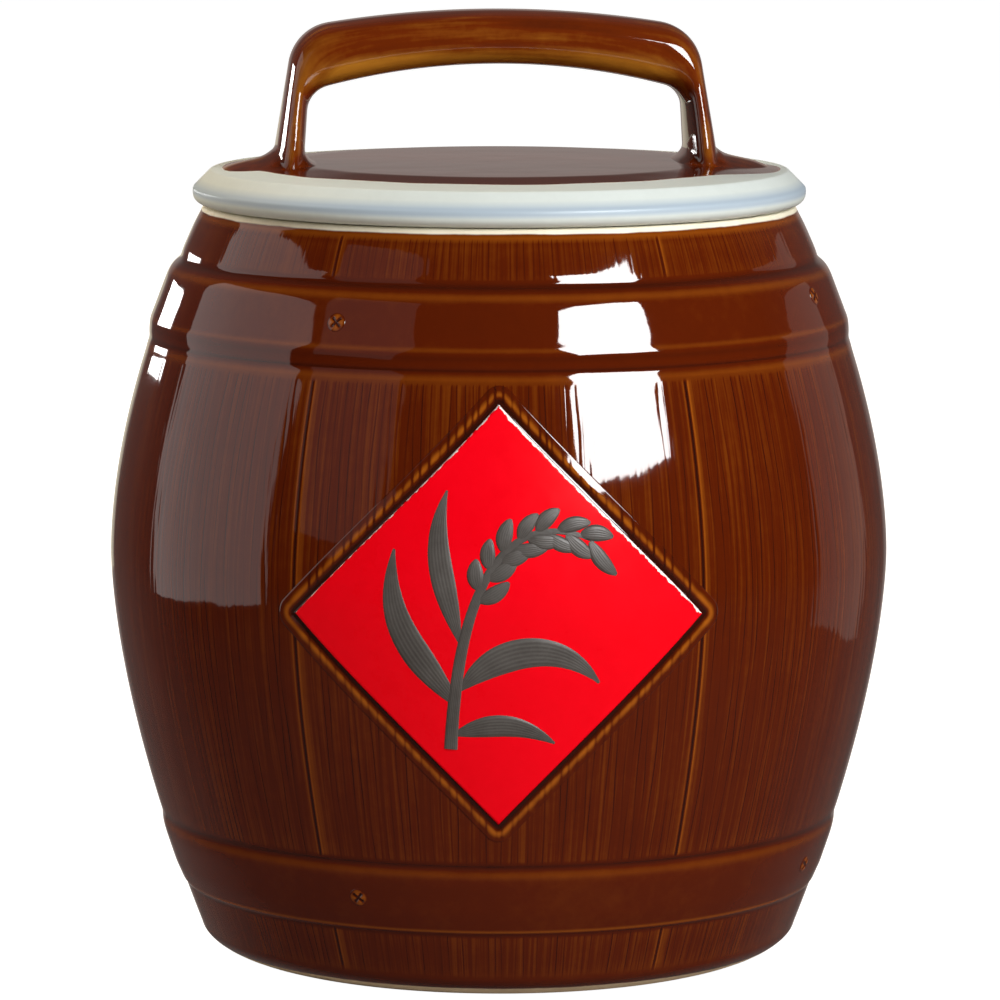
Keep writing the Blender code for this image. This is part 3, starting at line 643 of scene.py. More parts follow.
def new_group(name, given, output, kind="Float"):
    """A node group with named inputs and one named output. Gives it, its inputs and its end."""
    group = bpy.data.node_groups.new(name, "ShaderNodeTree")
    for label, value in given.items():
        socket = "NodeSocketColor" if isinstance(value, tuple) else "NodeSocketFloat"
        group.interface.new_socket(label, in_out="INPUT", socket_type=socket).default_value = value
    group.interface.new_socket(output, in_out="OUTPUT", socket_type="NodeSocket" + kind)
    return group, group.nodes.new("NodeGroupInput").outputs, group.nodes.new("NodeGroupOutput").inputs[output]


def place_group(tree, group, **inputs):
    """A group's output in a material that gives it its own values."""
    return add(tree, "Group", inputs, node_tree=group)


tone_group, given, end = new_group(
    "glaze tone", {"Thinness": 0.5, "Pooled": POOLED, "Even": EVEN, "Thin": THIN}, "Colour", "Color"
)
thick = blend(tone_group, ramp(tone_group, given["Thinness"], 0.0, 0.5), given["Pooled"], given["Even"])
full = blend(tone_group, ramp(tone_group, given["Thinness"], 0.5, 1.0), thick, given["Thin"])
tone_group.links.new(full, end)

# %% [markdown]
# No fired glaze is one even colour. The kiln mottle is cloud noise at two sizes, and the glaze
# ripple is the slow unevenness of a poured coat, which bends the edges of what it mirrors.
# %% Groups: kiln mottle and glaze ripple
mottle_group, given, end = new_group("kiln mottle", {"Scale": 30.0}, "Mask")
clouds = noise(mottle_group, given["Scale"], 3.0, 0.6)
grit = noise(mottle_group, reckon(mottle_group, "MULTIPLY", given["Scale"], 9.0), 2.0, 0.7)
mottle_group.links.new(add(mottle_group, "Mix", {0: 0.35, 2: clouds, 3: grit}), end)

ripple_group, given, end = new_group("glaze ripple", {"Scale": 60.0}, "Height")
ripple_group.links.new(noise(ripple_group, given["Scale"], 1.0, 0.4), end)

# %% [markdown]
# The carved grain also shows as soft light and dark streaks between the cut lines. The noise is
# read on a circle round the jar's axis, so it has no seam, and stretched along the boards.
# %% Group: wood streaks
streak_group, given, end = new_group("wood streaks", {"Lines": 60.0, "Run": 5.0}, "Mask")
spot = add(streak_group, "TexCoord", output="Object")
flat = add(streak_group, "VectorMath", {0: spot, 1: (1, 1, 0)}, operation="MULTIPLY")
circle = add(streak_group, "VectorMath", {0: flat}, operation="NORMALIZE")
spread = add(streak_group, "VectorMath", {0: circle, "Scale": given["Lines"]}, operation="SCALE")
rise = reckon(streak_group, "MULTIPLY", add(streak_group, "SeparateXYZ", {0: spot}, "Z"), given["Run"])
lifted = add(streak_group, "CombineXYZ", {2: rise})
where = add(streak_group, "VectorMath", {0: spread, 1: lifted}, operation="ADD")
boards = noise(streak_group, 1.0, 3.0, 0.65, where)
streak_group.links.new(ramp(streak_group, boards, 0.32, 0.68), end)

# %% [markdown]
# Where the glaze stops, it stops at a brushed or wiped edge. The mesh gives how far each place is
# from that edge, and the group lets the edge wander a little before it becomes a mask.
# %% Group: glaze edge
edge_group, given, end = new_group(
    "glaze edge", {"Distance": 0.0, "Wander": 0.6, "Scale": 90.0, "Softness": 0.25}, "Mask"
)
ragged = reckon(edge_group, "SUBTRACT", noise(edge_group, given["Scale"], 3.0), 0.5)
moved = reckon(edge_group, "MULTIPLY_ADD", ragged, given["Wander"], given["Distance"])
against = reckon(edge_group, "MULTIPLY", given["Softness"], -1.0)
edge_group.links.new(ramp(edge_group, moved, against, given["Softness"]), end)

# %% [markdown]
# ## The brown glaze of the barrel
# An iron glaze over buff clay: glossy, deep red-brown, and amber where it is thin. The marks in the
# mesh say where the form makes it thick or thin, and the streaks and mottle move it about.
# %% Material: brown glaze
GLAZE_IOR = 1.6


def mark(tree, name):
    """A mark that the mesh carries at each point."""
    return add(tree, "Attribute", output="Fac", attribute_name=name)


def weighted(tree, mask, weight, onto):
    """Onto plus weight times how far a mask is above its middle."""
    return reckon(tree, "MULTIPLY_ADD", reckon(tree, "SUBTRACT", mask, 0.5), weight, onto)


def mottled(tree, mottle, low, high):
    """A roughness that follows the mottle between two values."""
    return ramp(tree, mottle, 0.3, 0.7, low, high)


def rippled(tree, scale, depth, **below):
    """A normal bent by the glaze ripple."""
    return relief(tree, place_group(tree, ripple_group, Scale=scale), depth, **below)


brown_glaze, tree, shader = new_material("brown_glaze")
grain = mark(tree, "grain")
streaks = place_group(tree, streak_group, Lines=84.0, Run=7.0)
mottle = place_group(tree, mottle_group, Scale=22.0)
thinness = weighted(tree, streaks, reckon(tree, "MULTIPLY", grain, 0.17), mark(tree, "thin"))
thinness = weighted(tree, mottle, 0.22, thinness)
tone = place_group(tree, tone_group, Thinness=thinness, Pooled=POOLED, Even=EVEN, Thin=THIN)
bare = place_group(tree, edge_group, Distance=mark(tree, "bare_mm"), Wander=0.8, Scale=60.0)
clay_spots = place_group(tree, mottle_group, Scale=60.0)
cream = blend(tree, clay_spots, (0.74, 0.66, 0.47, 1), (0.94, 0.90, 0.75, 1))
buff = blend(tree, clay_spots, (0.74, 0.53, 0.30, 1), (0.97, 0.79, 0.56, 1))
clay = blend(tree, mark(tree, "foot"), cream, buff)
rough = add(tree, "Mix", {0: bare, 2: mottled(tree, mottle, 0.025, 0.055), 3: 0.62})
fill(tree, shader, {"Base Color": blend(tree, bare, tone, clay), "Roughness": rough, "IOR": GLAZE_IOR})

# %% [markdown]
# Its relief has three layers: the slow ripple of the coat, the faint furrows of the streaks, and a
# fine orange peel over both.
# %% Relief of the brown glaze
slow = rippled(tree, 42.0, 0.00030)
furrows = relief(tree, reckon(tree, "MULTIPLY", streaks, grain), 0.000006, Normal=slow)
peel = rippled(tree, 260.0, 0.000008, Normal=furrows)
fill(tree, shader, {"Normal": peel})
barrel.data.materials.append(brown_glaze)

# %% [markdown]
# ## Pale glaze and bare clay
# The inside wears a pale grey-green glaze that is softer in its gloss than the brown. The base is
# the clay itself, dry and a little sandy.
# %% Materials: pale glaze, bare clay
pale_glaze, tree, shader = new_material("pale_glaze")
mottle = place_group(tree, mottle_group, Scale=26.0)
fill(tree, shader, {
    "Base Color": blend(tree, mottle, (0.50, 0.53, 0.49, 1), (0.66, 0.70, 0.68, 1)),
    "Roughness": mottled(tree, mottle, 0.22, 0.34),
    "Normal": rippled(tree, 50.0, 0.00015),
})
inside.data.materials.append(pale_glaze)

bare_clay, tree, shader = new_material("bare_clay")
sand = place_group(tree, mottle_group, Scale=90.0)
fill(tree, shader, {
    "Base Color": blend(tree, sand, (0.46, 0.37, 0.25, 1), (0.72, 0.64, 0.50, 1)),
    "Roughness": mottled(tree, sand, 0.72, 0.9),
    "Normal": relief(tree, sand, 0.0002),
})
base.data.materials.append(bare_clay)

# %% [markdown]
# ## The panel's frame
# A low bead runs round the panel behind a dark groove. It was carved across the grain, so each
# grain line nicks it, and the thin glaze on it breaks to amber. It is swept round the diamond, and
# at each corner the sweep turns in an arc.
# %% Frame
FRAME_SIDE_STEPS, FRAME_CORNER_STEPS = 300, 14
FRAME_PROFILE = (  # the way outwards from the panel, how far it stands out, and how thin the glaze is
    (0.0001, -0.00040, 0.10), (0.0005, -0.00050, 0.02), (0.0009, -0.00050, 0.02), (0.0013, -0.00042, 0.06),
    (0.0017, -0.00028, 0.20), (0.0021, -0.00013, 0.44), (0.0025, -0.00001, 0.70), (0.0029, 0.00006, 0.88),
    (0.0033, 0.00008, 0.94), (0.0037, 0.00007, 0.86), (0.0042, 0.00005, 0.68), (0.0047, 0.00003, 0.52),
    (0.0052, 0.00001, 0.47), (0.0057, -0.00001, 0.46), (0.0062, -0.00003, 0.46), (0.0066, -0.00100, 0.46),
)
PLAIN_MARKS = {"grain": 0, "bare_mm": -9}


def outward(start, end):
    """The outward way of a side of the diamond."""
    way = np.array([(end - start)[1], -(end - start)[0]]) / np.hypot(*(end - start))
    return way * math.copysign(1, way @ end)


tips = np.array([(0, 1), (-1, 0), (0, -1), (1, 0)]) * (PANEL_HALF_WIDTH, PANEL_HALF_HEIGHT)
path, ways = [], []
for k in range(4):
    tip, following = tips[k], tips[(k + 1) % 4]
    way_in, way_out = outward(tips[k - 1], tip), outward(tip, following)
    for share in np.linspace(0, 1, FRAME_CORNER_STEPS, endpoint=False):
        way = way_in * (1 - share) + way_out * share
        path.append(tip)
        ways.append(way / np.hypot(*way))
    for share in np.linspace(0, 1, FRAME_SIDE_STEPS, endpoint=False):
        path.append(tip + (following - tip) * share)
        ways.append(way_out)
path, ways = np.array(path), np.array(ways)
steps, outs, shares = np.array(FRAME_PROFILE).T[..., None]
flat = path + ways * steps[..., None]

# %% [markdown]
# Each grain line that crosses the bead leaves a dark nick in it, weaker towards the lower tip. The
# height of the bead varies a little too, as in carved work.
# %% Nicks in the bead
NICK_HALF_WIDTH, NICK_DEPTH, NICK_FADE, PANEL_REACH = 0.00042, 0.3, (-0.020, 0.010), 0.62
SWELL_SHARE, SWELL_ALONG, SWELL_UP = 0.16, 900, 500


def line_nick(across, up):
    """How strongly a grain line crosses a flat place, from 0 to 1."""
    heights = PANEL_CENTRE_HEIGHT + up
    crossed = np.zeros_like(across)
    for k, start in enumerate((line_angles + math.pi) % math.tau - math.pi):
        if abs(start) < PANEL_REACH:
            line = np.full(across.shape, k)
            gap = across / BELLY_RADIUS - start - line_wander(line, heights)
            near = np.exp(-((gap * BELLY_RADIUS / NICK_HALF_WIDTH) ** 2))
            crossed = np.maximum(crossed, near * (0.15 + 0.85 * line_strength(line, heights)))
    return crossed


across, up = flat[..., 0], flat[..., 1]
nicks = line_nick(across, up) * (0.45 + 0.55 * smooth_between(*NICK_FADE, up))
swell = 1 + SWELL_SHARE * np.sin(path[:, 0] * SWELL_ALONG + 1.3 * np.sin(path[:, 1] * SWELL_UP))
outs = np.where(outs > 0, outs * (1 - NICK_DEPTH * nicks) * swell, outs)
panel_frame = grid_piece("panel_frame", on_belly(across, up, outs), None, {
    "thin": shares * (1 - 0.85 * nicks) * (0.4 + 0.6 * swell), **PLAIN_MARKS,
})
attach(panel_frame, "jar")
panel_frame.data.materials.append(brown_glaze)

# %% [markdown]
# ## The red enamel field
# The field is overglaze enamel, fired on last at a low heat. It stands a quarter of a millimetre
# out from the wall, with a rounded edge. A thin white line is painted along the upper right edge and
# a trace of it along the upper left: a painted highlight where the raised edge faces the lights, over
# the white body where the enamel ends a little short.
# %% Enamel field
FIELD_CELLS, FIELD_PROUD, FIELD_ROUND = 150, 0.00025, 0.0009
HIGHLIGHT_RIGHT_MM, HIGHLIGHT_LEFT_MM, HIGHLIGHT_NONE_MM = 0.85, 0.25, -2.0
share = np.linspace(-1, 1, FIELD_CELLS + 1)
share = np.sign(share) * (1 - (1 - np.abs(share)) ** 1.25)
a, b = np.meshgrid(share, share, indexing="ij")
field_across, field_up = (a + b) / 2 * PANEL_HALF_WIDTH, (b - a) / 2 * PANEL_HALF_HEIGHT
from_edge = np.minimum(1 - np.abs(a), 1 - np.abs(b)) * PANEL_SIDE / 2
rounding = np.clip(from_edge / FIELD_ROUND, 0, 1)
field_out = FIELD_PROUD - FIELD_ROUND * (1 - np.sqrt(1 - (1 - rounding) ** 2))
# The white line is a painted highlight: wide on the upper right edge, a trace on the upper left, none below.
reach_mm = np.where(1 - b < 1 - np.abs(a), HIGHLIGHT_RIGHT_MM, HIGHLIGHT_NONE_MM)
reach_mm = np.where(1 + a < np.minimum(1 - b, 1 + b), HIGHLIGHT_LEFT_MM, reach_mm)
field = grid_piece("enamel_field", on_belly(field_across, field_up, field_out), None, {
    "painted_highlight_mm": reach_mm - 1000 * from_edge,
}, around=False)
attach(field, "jar")
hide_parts("enamel_panel")

# %% [markdown]
# The enamel is a strong red with a satin gloss, softer than the glaze's. The kiln mottle moves its
# tone, and the glaze edge group draws the ragged white line of painted highlight.
# %% Material: red enamel
red_enamel, tree, shader = new_material("red_enamel")
mottle = place_group(tree, mottle_group, Scale=18.0)
red = blend(tree, mottle, (0.80, 0.0, 0.004, 1), (0.99, 0.001, 0.012, 1))
# The ragged white line mixed into the red is a painted highlight on the upper edges.
white = place_group(
    tree, edge_group, Distance=mark(tree, "painted_highlight_mm"), Wander=2.2, Scale=420.0, Softness=0.12
)
fill(tree, shader, {
    "Base Color": blend(tree, white, red, (0.95, 0.86, 0.82, 1)),
    "Roughness": mottled(tree, mottle, 0.24, 0.36),
    "Specular IOR Level": 0.08,
    "Normal": rippled(tree, 150.0, 0.00008),
})
field.data.materials.append(red_enamel)

# %% [markdown]
# ## The painted sprig
# A sprig of rice is painted on the field with a loaded brush, in thick slate-grey enamel that
# stands up from it. Each stroke follows a curve, with its own width along the way, rounded across
# and streaked by the hairs of the brush.
# %% Brush strokes
STROKE_HALF = np.array([-1.0, -0.94, -0.8, -0.6, -0.4, -0.2, 0.0, 0.2, 0.4, 0.6, 0.8, 0.94, 1.0])
STROKE_SUNK = 0.00012


def curve_points(knots_mm, count):
    """A cubic curve through four handles, as flat points."""
    knots = np.array(knots_mm, float) / 1000
    t = np.linspace(0, 1, count)[:, None]
    weights = ((1 - t) ** 3, 3 * t * (1 - t) ** 2, 3 * t * t * (1 - t), t**3)
    return sum(weight * knot for weight, knot in zip(weights, knots))


def brush_stroke(name, line, widths, rise=0.0006):
    """A raised stroke along a flat line, with a width at each point."""
    ahead = np.gradient(line, axis=0)
    ahead /= np.hypot(*ahead.T)[:, None]
    aside = np.column_stack([-ahead[:, 1], ahead[:, 0]])
    half = STROKE_HALF * 0.5 * widths[:, None]
    flat = line[:, None] + aside[:, None] * half[..., None]
    hairs = 1 + 0.09 * np.sin(31 * STROKE_HALF + 7 * line[0, 0] * 1000) * (np.abs(STROKE_HALF) < 0.85)
    load = np.clip(widths / np.max(widths), 0.25, 1)[:, None]
    out = FIELD_PROUD - STROKE_SUNK + rise * (1 - STROKE_HALF**6) * hairs * load
    points = on_belly(flat[..., 0], flat[..., 1], out)[:, ::-1]
    return grid_piece(name, points, None, {"hair": STROKE_HALF}, around=False)


def swelling(count, widest_mm, at=0.4, sharp=0.75):
    """Widths of a pressed stroke: thin, then full, then drawn to a point."""
    t = np.linspace(0.02, 0.98, count)
    bump = np.where(t < at, t / at, (1 - t) / (1 - at))
    return widest_mm / 1000 * np.sin(0.5 * math.pi * bump) ** sharp

# %% [markdown]
# The stem bends over and four leaves spring from it. Fifteen grains hang from about its middle to
# its end, on one side and the other in turn. Seeded numbers turn and size the grains.
# %% Sprig
STEM_STEPS, LEAF_STEPS, GRAIN_STEPS, GRAIN_COUNT = 90, 80, 26, 15
STEM_MM = ((-17, -45), (-14, -6), (-6, 44), (33, 27))
LEAVES_MM = (  # four handles, the widest place, and how far along it is
    (((-14, -30), (-28, -12), (-40, -2), (-36, 24)), 10.5, 0.40),
    (((-13, -24), (-2, -10), (20, -4), (35, -22)), 11.0, 0.42),
    (((-16, -40), (-4, -36), (6, -34), (20, -43)), 8.0, 0.45),
    (((-13, -8), (-19, 14), (-24, 26), (-18, 44)), 8.5, 0.42),
)
stem = curve_points(STEM_MM, STEM_STEPS)
strokes = [brush_stroke("sprig_stem", stem, np.linspace(0.0050, 0.0018, STEM_STEPS))]
for k, (knots, widest_mm, at) in enumerate(LEAVES_MM):
    widths = swelling(LEAF_STEPS, widest_mm, at)
    strokes.append(brush_stroke(f"sprig_leaf_{k + 1}", curve_points(knots, LEAF_STEPS), widths))

grain_seeds = np.random.default_rng(7)
stem_ways = np.gradient(stem, axis=0)
stem_ways /= np.hypot(*stem_ways.T)[:, None]
for k, share in enumerate(np.linspace(0.44, 0.985, GRAIN_COUNT)):
    spot, way = (values[int(share * (STEM_STEPS - 1))] for values in (stem, stem_ways))
    hand = 1 if k % 2 else -1
    turn = hand * math.radians(grain_seeds.uniform(28, 46)) * (1 - 0.35 * share)
    c, s = math.cos(turn), math.sin(turn)
    drop = np.array([way[0] * c - way[1] * s, way[0] * s + way[1] * c - 0.20 * share])
    length = grain_seeds.uniform(0.0110, 0.0132)
    bow = np.array([-drop[1], drop[0]]) * 0.0009 * hand
    t = np.linspace(0, 1, GRAIN_STEPS)[:, None]
    line = spot + drop * 0.0014 + drop * length * t + bow * np.sin(math.pi * t)
    widths = swelling(GRAIN_STEPS, grain_seeds.uniform(5.2, 6.0), 0.46, 0.62)
    strokes.append(brush_stroke(f"sprig_grain_{k + 1}", line, widths, 0.0008))
for stroke in strokes:
    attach(stroke, "jar")
print(len(strokes), "strokes")

# %% [markdown]
# The slate grey has light and dark streaks, where the hairs of the brush left less or more of it.
# %% Material: slate enamel
slate, tree, shader = new_material("slate_enamel")
mottle = place_group(tree, mottle_group, Scale=120.0)
wave = reckon(tree, "SINE", reckon(tree, "MULTIPLY", mark(tree, "hair"), 23.0))
streaky = reckon(tree, "MULTIPLY_ADD", wave, 0.16, mottle)
fill(tree, shader, {
    "Base Color": blend(tree, streaky, (0.045, 0.037, 0.034, 1), (0.125, 0.115, 0.105, 1)),
    "Roughness": mottled(tree, mottle, 0.34, 0.52),
    "Normal": relief(tree, streaky, 0.0001),
})
for stroke in strokes:
    stroke.data.materials.append(slate)

# %% [markdown]
# ## Screw heads
# Each hoop has four round heads with crossed slots. They were carved in the model for the mould and
# hold nothing. Each is a low round from rings of points that swells to four pads, with the cross
# pressed in between them.
# %% Screw heads
HEAD_RADIUS, HEAD_RISE, HEAD_PROUD, PILLOW_RISE = 0.0034, 0.00036, 0.00004, 0.00010
SLOT_DEPTH, SLOT_HALF, SLOT_REACH, SLOT_END = 0.00030, 0.00052, 0.0024, 0.0004
HEAD_RINGS, HEAD_SPOKES, HEAD_SKIRT = 26, 96, 0.0003
UPPER_HEADS = ((-27.1, 0.2370), (66.5, 0.2403), (154, 0.2380), (-114, 0.2390))
LOWER_HEADS = ((-23.9, 0.0374), (66, 0.0374), (155, 0.0374), (-115, 0.0374))
outer_face = slice(2 * FOOT_STEPS, int(np.argmax(barrel_section.path[:, 1])))
outer_path = np.column_stack([barrel_section.path, barrel_section.normal])[outer_face]


def screw_head(name, azimuth, z, twist):
    """A small head with its cross turned by twist, laid on the barrel's outside."""
    reach = HEAD_RADIUS * np.linspace(0, 1, HEAD_RINGS)[:, None] ** 0.8
    spin = np.arange(HEAD_SPOKES) * math.tau / HEAD_SPOKES
    u, v, ray = reach * np.cos(spin), reach * np.sin(spin), reach / HEAD_RADIUS
    pillow = 4 * ray * (1 - ray) * np.abs(np.sin(2 * (spin - twist)))
    cross = np.zeros_like(u)
    for arm in (twist, twist + math.pi / 2):
        along, beside = u * math.cos(arm) + v * math.sin(arm), v * math.cos(arm) - u * math.sin(arm)
        slot = smooth_between(1.5 * SLOT_HALF, 0.4 * SLOT_HALF, np.abs(beside))
        cross = np.maximum(cross, slot * smooth_between(SLOT_REACH, SLOT_REACH - SLOT_END, np.abs(along)))
    out = HEAD_RISE * (1 - ray**2) + PILLOW_RISE * pillow + HEAD_PROUD - SLOT_DEPTH * cross
    out[-1] -= HEAD_SKIRT
    radius, level, rise = (np.interp(z, outer_path[:, 1], outer_path[:, k]) for k in (0, 2, 3))
    c, s = math.cos(azimuth), math.sin(azimuth)
    side, face = np.array([c, s, 0]), np.array([level * s, -level * c, rise])
    centre = np.array([radius * s, -radius * c, z])
    bend = u**2 / (2 * radius)
    top = np.cross(side, face)
    points = centre + u[..., None] * side + v[..., None] * top + (out - bend)[..., None] * face
    thin = 0.50 + 0.38 * pillow - 0.50 * cross - 0.22 * smooth_between(0.8, 1.0, ray)
    head = grid_piece(name, points, None, {"thin": thin, **PLAIN_MARKS})
    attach(head, "jar")
    head.data.materials.append(brown_glaze)


for hoop, heads, first, step in (("upper", UPPER_HEADS, 45, 7), ("lower", LOWER_HEADS, 40, -9)):
    for k, (azimuth, z) in enumerate(heads):
        screw_head(f"{hoop}_screw_head_{k + 1}", math.radians(azimuth), z, math.radians(first + step * k))

# %% [markdown]
# ## The lid
# The lid is turned too: a flat disc, a sloping ring round it, a bevel and a rounded rim, with a
# locating ring below. Pale glaze covers it, and the brown glaze was brushed over the top up to a
# wavy edge, which reaches out nearly to the bevel only near the two feet of the handle.
# %% Lid
SEAT_HEIGHT, LID_RADIUS, CORNER_RADIUS, CORNER_RISE = 0.2691, 0.1098, 0.1034, 0.0122
DISC_RADIUS, DISC_RISE, DISC_CROWN, SHOULDER_FALL = 0.0724, 0.0147, 0.0003, 0.0025
RIM_UNDERCUT, RIM_BAND, LID_THICKNESS = 0.0038, 0.0020, 0.0075
SPIGOT_RADIUS, SPIGOT_WALL, SPIGOT_DEPTH, SPIGOT_ROUND = 0.0923, 0.0060, 0.0120, 0.0010
SEAL_DROP, SEAL_HEIGHT, SEAL_GROOVE_DEPTH, FIT_GAP = 0.0025, 0.0054, 0.0015, 0.0003
LID_SOFT, LID_ROW, LID_COLUMNS = 0.00045, 0.0022, 320
HANDLE_TURN = math.radians(5)


def lid_top(radius):
    """How high the lid's top face is above its seat."""
    radius = np.asarray(radius, float)
    crown = DISC_RISE + DISC_CROWN * (1 - (radius / DISC_RADIUS) ** 2)
    slope = DISC_RISE - SHOULDER_FALL * (radius - DISC_RADIUS) / (CORNER_RADIUS - DISC_RADIUS)
    return np.where(radius < DISC_RADIUS, crown, slope)


ceiling = DISC_RISE - LID_THICKNESS
groove_foot = -SEAL_DROP - SEAL_HEIGHT - 2 * FIT_GAP
groove_radius = SPIGOT_RADIUS - SEAL_GROOVE_DEPTH
spigot_inner = SPIGOT_RADIUS - SPIGOT_WALL
lid_corners = [(0.0, ceiling), (spigot_inner - SPIGOT_WALL, ceiling)]
lid_corners += quarter(lid_corners[-1], (spigot_inner, ceiling - SPIGOT_WALL), True)
lid_corners += [(spigot_inner, -SPIGOT_DEPTH), (SPIGOT_RADIUS - SPIGOT_ROUND, -SPIGOT_DEPTH)]
lid_corners += [(SPIGOT_RADIUS, SPIGOT_ROUND - SPIGOT_DEPTH), (SPIGOT_RADIUS, groove_foot)]
lid_corners += [(groove_radius, groove_foot), (groove_radius, -SEAL_DROP)]
lid_corners += [(SPIGOT_RADIUS, -SEAL_DROP), (SPIGOT_RADIUS, -SPIGOT_ROUND)]
lid_corners += [(SPIGOT_RADIUS + SPIGOT_ROUND, 0), (LID_RADIUS - 1.2 * RIM_UNDERCUT, 0)]
lid_corners += quarter(lid_corners[-1], (LID_RADIUS, RIM_UNDERCUT), True)
lid_corners += [(LID_RADIUS, RIM_UNDERCUT + RIM_BAND), (CORNER_RADIUS, CORNER_RISE)]
lid_corners += [(r, float(lid_top(r))) for r in np.linspace(CORNER_RADIUS, 0, 60)[1:]]
lid_section = Section([(r, z + SEAT_HEIGHT) for r, z in lid_corners], LID_SOFT)

# %% [markdown]
# The lid's material reads two marks: how far each place lies inside the edge of the brown glaze, and
# where the pale glaze of the rim turns bluish.
# %% Marks on the lid
BROWN_RADIUS, BROWN_REACH_OUT, BROWN_FAN = 0.0880, 0.0118, (math.radians(27), math.radians(6))
BLUE_START, BLUE_END = (0.0030, 0.0046), (0.0088, 0.0066)
EDGE_WAVE, EDGE_FINE_WAVE, TOP_START, NOT_ON_TOP = 0.0007, 0.0004, CORNER_RISE - 0.0008, -0.02


def lid_marks(places, angles):
    """How far each place on top lies inside the brown glaze, and where the rim's glaze is bluish."""
    radius, rise = places[:, :1], places[:, 1:] - SEAT_HEIGHT
    from_handle = np.abs(np.mod(angles + HANDLE_TURN + math.pi, math.tau) - math.pi)
    edge = BROWN_RADIUS + BROWN_REACH_OUT * smooth_between(*BROWN_FAN, np.abs(from_handle - math.pi / 2))
    wave = EDGE_WAVE * np.sin(5 * angles + 1) + EDGE_FINE_WAVE * np.sin(13 * angles)
    inside = np.where(rise > TOP_START, edge + wave - radius, NOT_ON_TOP)
    blue = smooth_between(*BLUE_START, rise) * smooth_between(*BLUE_END, rise)
    return {"brown_mm": 1000 * inside, "blue": blue * (radius > CORNER_RADIUS)}


lid = turned_piece("lid_body", lid_section, lid_section.rows(LID_ROW), LID_COLUMNS, lid_marks)
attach(lid, "lid")
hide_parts("lid")

# %% [markdown]
# Both glazes are in one material, because they meet at a ragged edge. The brown coat stands up a
# little where it ends, and it is amber there, because it is thin.
# %% Material: lid glazes
lid_glaze, tree, shader = new_material("lid_glaze")
mottle = place_group(tree, mottle_group, Scale=24.0)
pale = blend(tree, mottle, (0.63, 0.68, 0.64, 1), (0.77, 0.83, 0.80, 1))
blued = blend(tree, mark(tree, "blue"), pale, (0.43, 0.52, 0.60, 1))
brown = place_group(tree, edge_group, Distance=mark(tree, "brown_mm"), Wander=1.6, Scale=60.0)
top_thin = weighted(tree, mottle, 0.30, ramp(tree, mark(tree, "brown_mm"), 0.0, 1.6, 0.85, 0.42))
top_tone = place_group(tree, tone_group, Thinness=top_thin, Pooled=POOLED, Even=EVEN, Thin=THIN)
slow = rippled(tree, 46.0, 0.00016)
fill(tree, shader, {
    "Base Color": blend(tree, brown, blued, top_tone),
    "Roughness": add(tree, "Mix", {0: brown, 2: 0.42, 3: 0.09}),
    "Normal": relief(tree, brown, 0.00015, Normal=slow),
    "IOR": GLAZE_IOR,
})
lid.data.materials.append(lid_glaze)

# %% [markdown]
# ## The sealing ring
# A soft clear-white ring sits in the groove of the locating ring and closes the mouth with two fins.
# %% Sealing ring
RING_THICKNESS, RING_SOFT, RING_STEP, RING_ROW, RING_COLUMNS = 0.0030, 0.00010, 0.00005, 0.0006, 240
FIN_STARTS, FIN_SLOPE, FIN_TOP, FIN_ROOT = (0.15, 0.6), 0.0006, 0.0012, 0.0010
ring_inner = groove_radius + FIT_GAP
ring_body = ring_inner + RING_THICKNESS
ring_reach = MOUTH_RADIUS - FIT_GAP
ring_top = SEAT_HEIGHT - SEAL_DROP - FIT_GAP
ring_foot = ring_top - SEAL_HEIGHT
ring_corners = [(ring_inner, ring_top - 0.5 * SEAL_HEIGHT), (ring_inner, ring_foot), (ring_body, ring_foot)]
for fin in (ring_foot + share * SEAL_HEIGHT for share in FIN_STARTS):
    ring_corners += [(ring_body, fin), (ring_reach, fin + FIN_SLOPE)]
    ring_corners += [(ring_reach, fin + FIN_TOP), (ring_body, fin + FIN_ROOT)]
ring_corners += [(ring_body, ring_top), (ring_inner, ring_top), ring_corners[0]]
ring_section = Section(ring_corners, RING_SOFT, step=RING_STEP)
seal = turned_piece("sealing_ring", ring_section, ring_section.rows(RING_ROW, 0.3), RING_COLUMNS)
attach(seal, "ring")
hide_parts("lid_seal")

silicone, tree, shader = new_material("soft_silicone")
cloud = place_group(tree, mottle_group, Scale=80.0)
fill(tree, shader, {
    "Base Color": blend(tree, cloud, (0.70, 0.69, 0.66, 1), (0.84, 0.83, 0.80, 1)),
    "Roughness": mottled(tree, cloud, 0.42, 0.56),
    "Subsurface Weight": 0.25,
    "Subsurface Scale": 0.002,
})
seal.data.materials.append(silicone)

# %% [markdown]
# ## The strap handle
# A thick strap of clay, bent to an arch, pressed on to the lid and smoothed out at its feet into two
# low mounds. The strap is rings of a rounded section along the arch, and each foot is a low mound.
# A voxel remesh melts the three into one skin, which is then relaxed, as a potter's sponge does.
# %% Arch of the handle
HANDLE_OFF_CENTRE, HANDLE_RISE, HANDLE_FOOT = -0.0016, 0.0544, 0.0798
HANDLE_LEAN, HANDLE_CORNER, HANDLE_CROWN = math.radians(9.4), 0.0172, 0.385
FINGER_LEAN, FINGER_CORNER, FINGER_CROWN = math.radians(4), 0.0095, 0.240
GRIP_THICKNESS, LEG_THICKNESS, HANDLE_WIDTH, STRAP_ROUNDNESS = 0.0193, 0.0110, 0.0380, 2.9
LEG_FLARE, LEG_ROUNDNESS, STRAP_SUNK, ARCH_STEPS = 0.0058, 2.2, 0.0010, (24, 28, 44)
ROOT_HALF_WIDTH, ROOT_END_RADIUS, ROOT_TOE, ROOT_EDGE = 0.0240, 0.0994, 0.0060, -0.0003
ROOT_CREST_END, ROOT_CREST_LEG, ROOT_FILLET, ROOT_FILLET_REACH = 0.0018, 0.0031, 0.0024, 0.0030


def turned_by(way, angle):
    """A flat way turned clockwise."""
    c, s = math.cos(angle), math.sin(angle)
    return Vector((way.x * c + way.y * s, way.y * c - way.x * s))


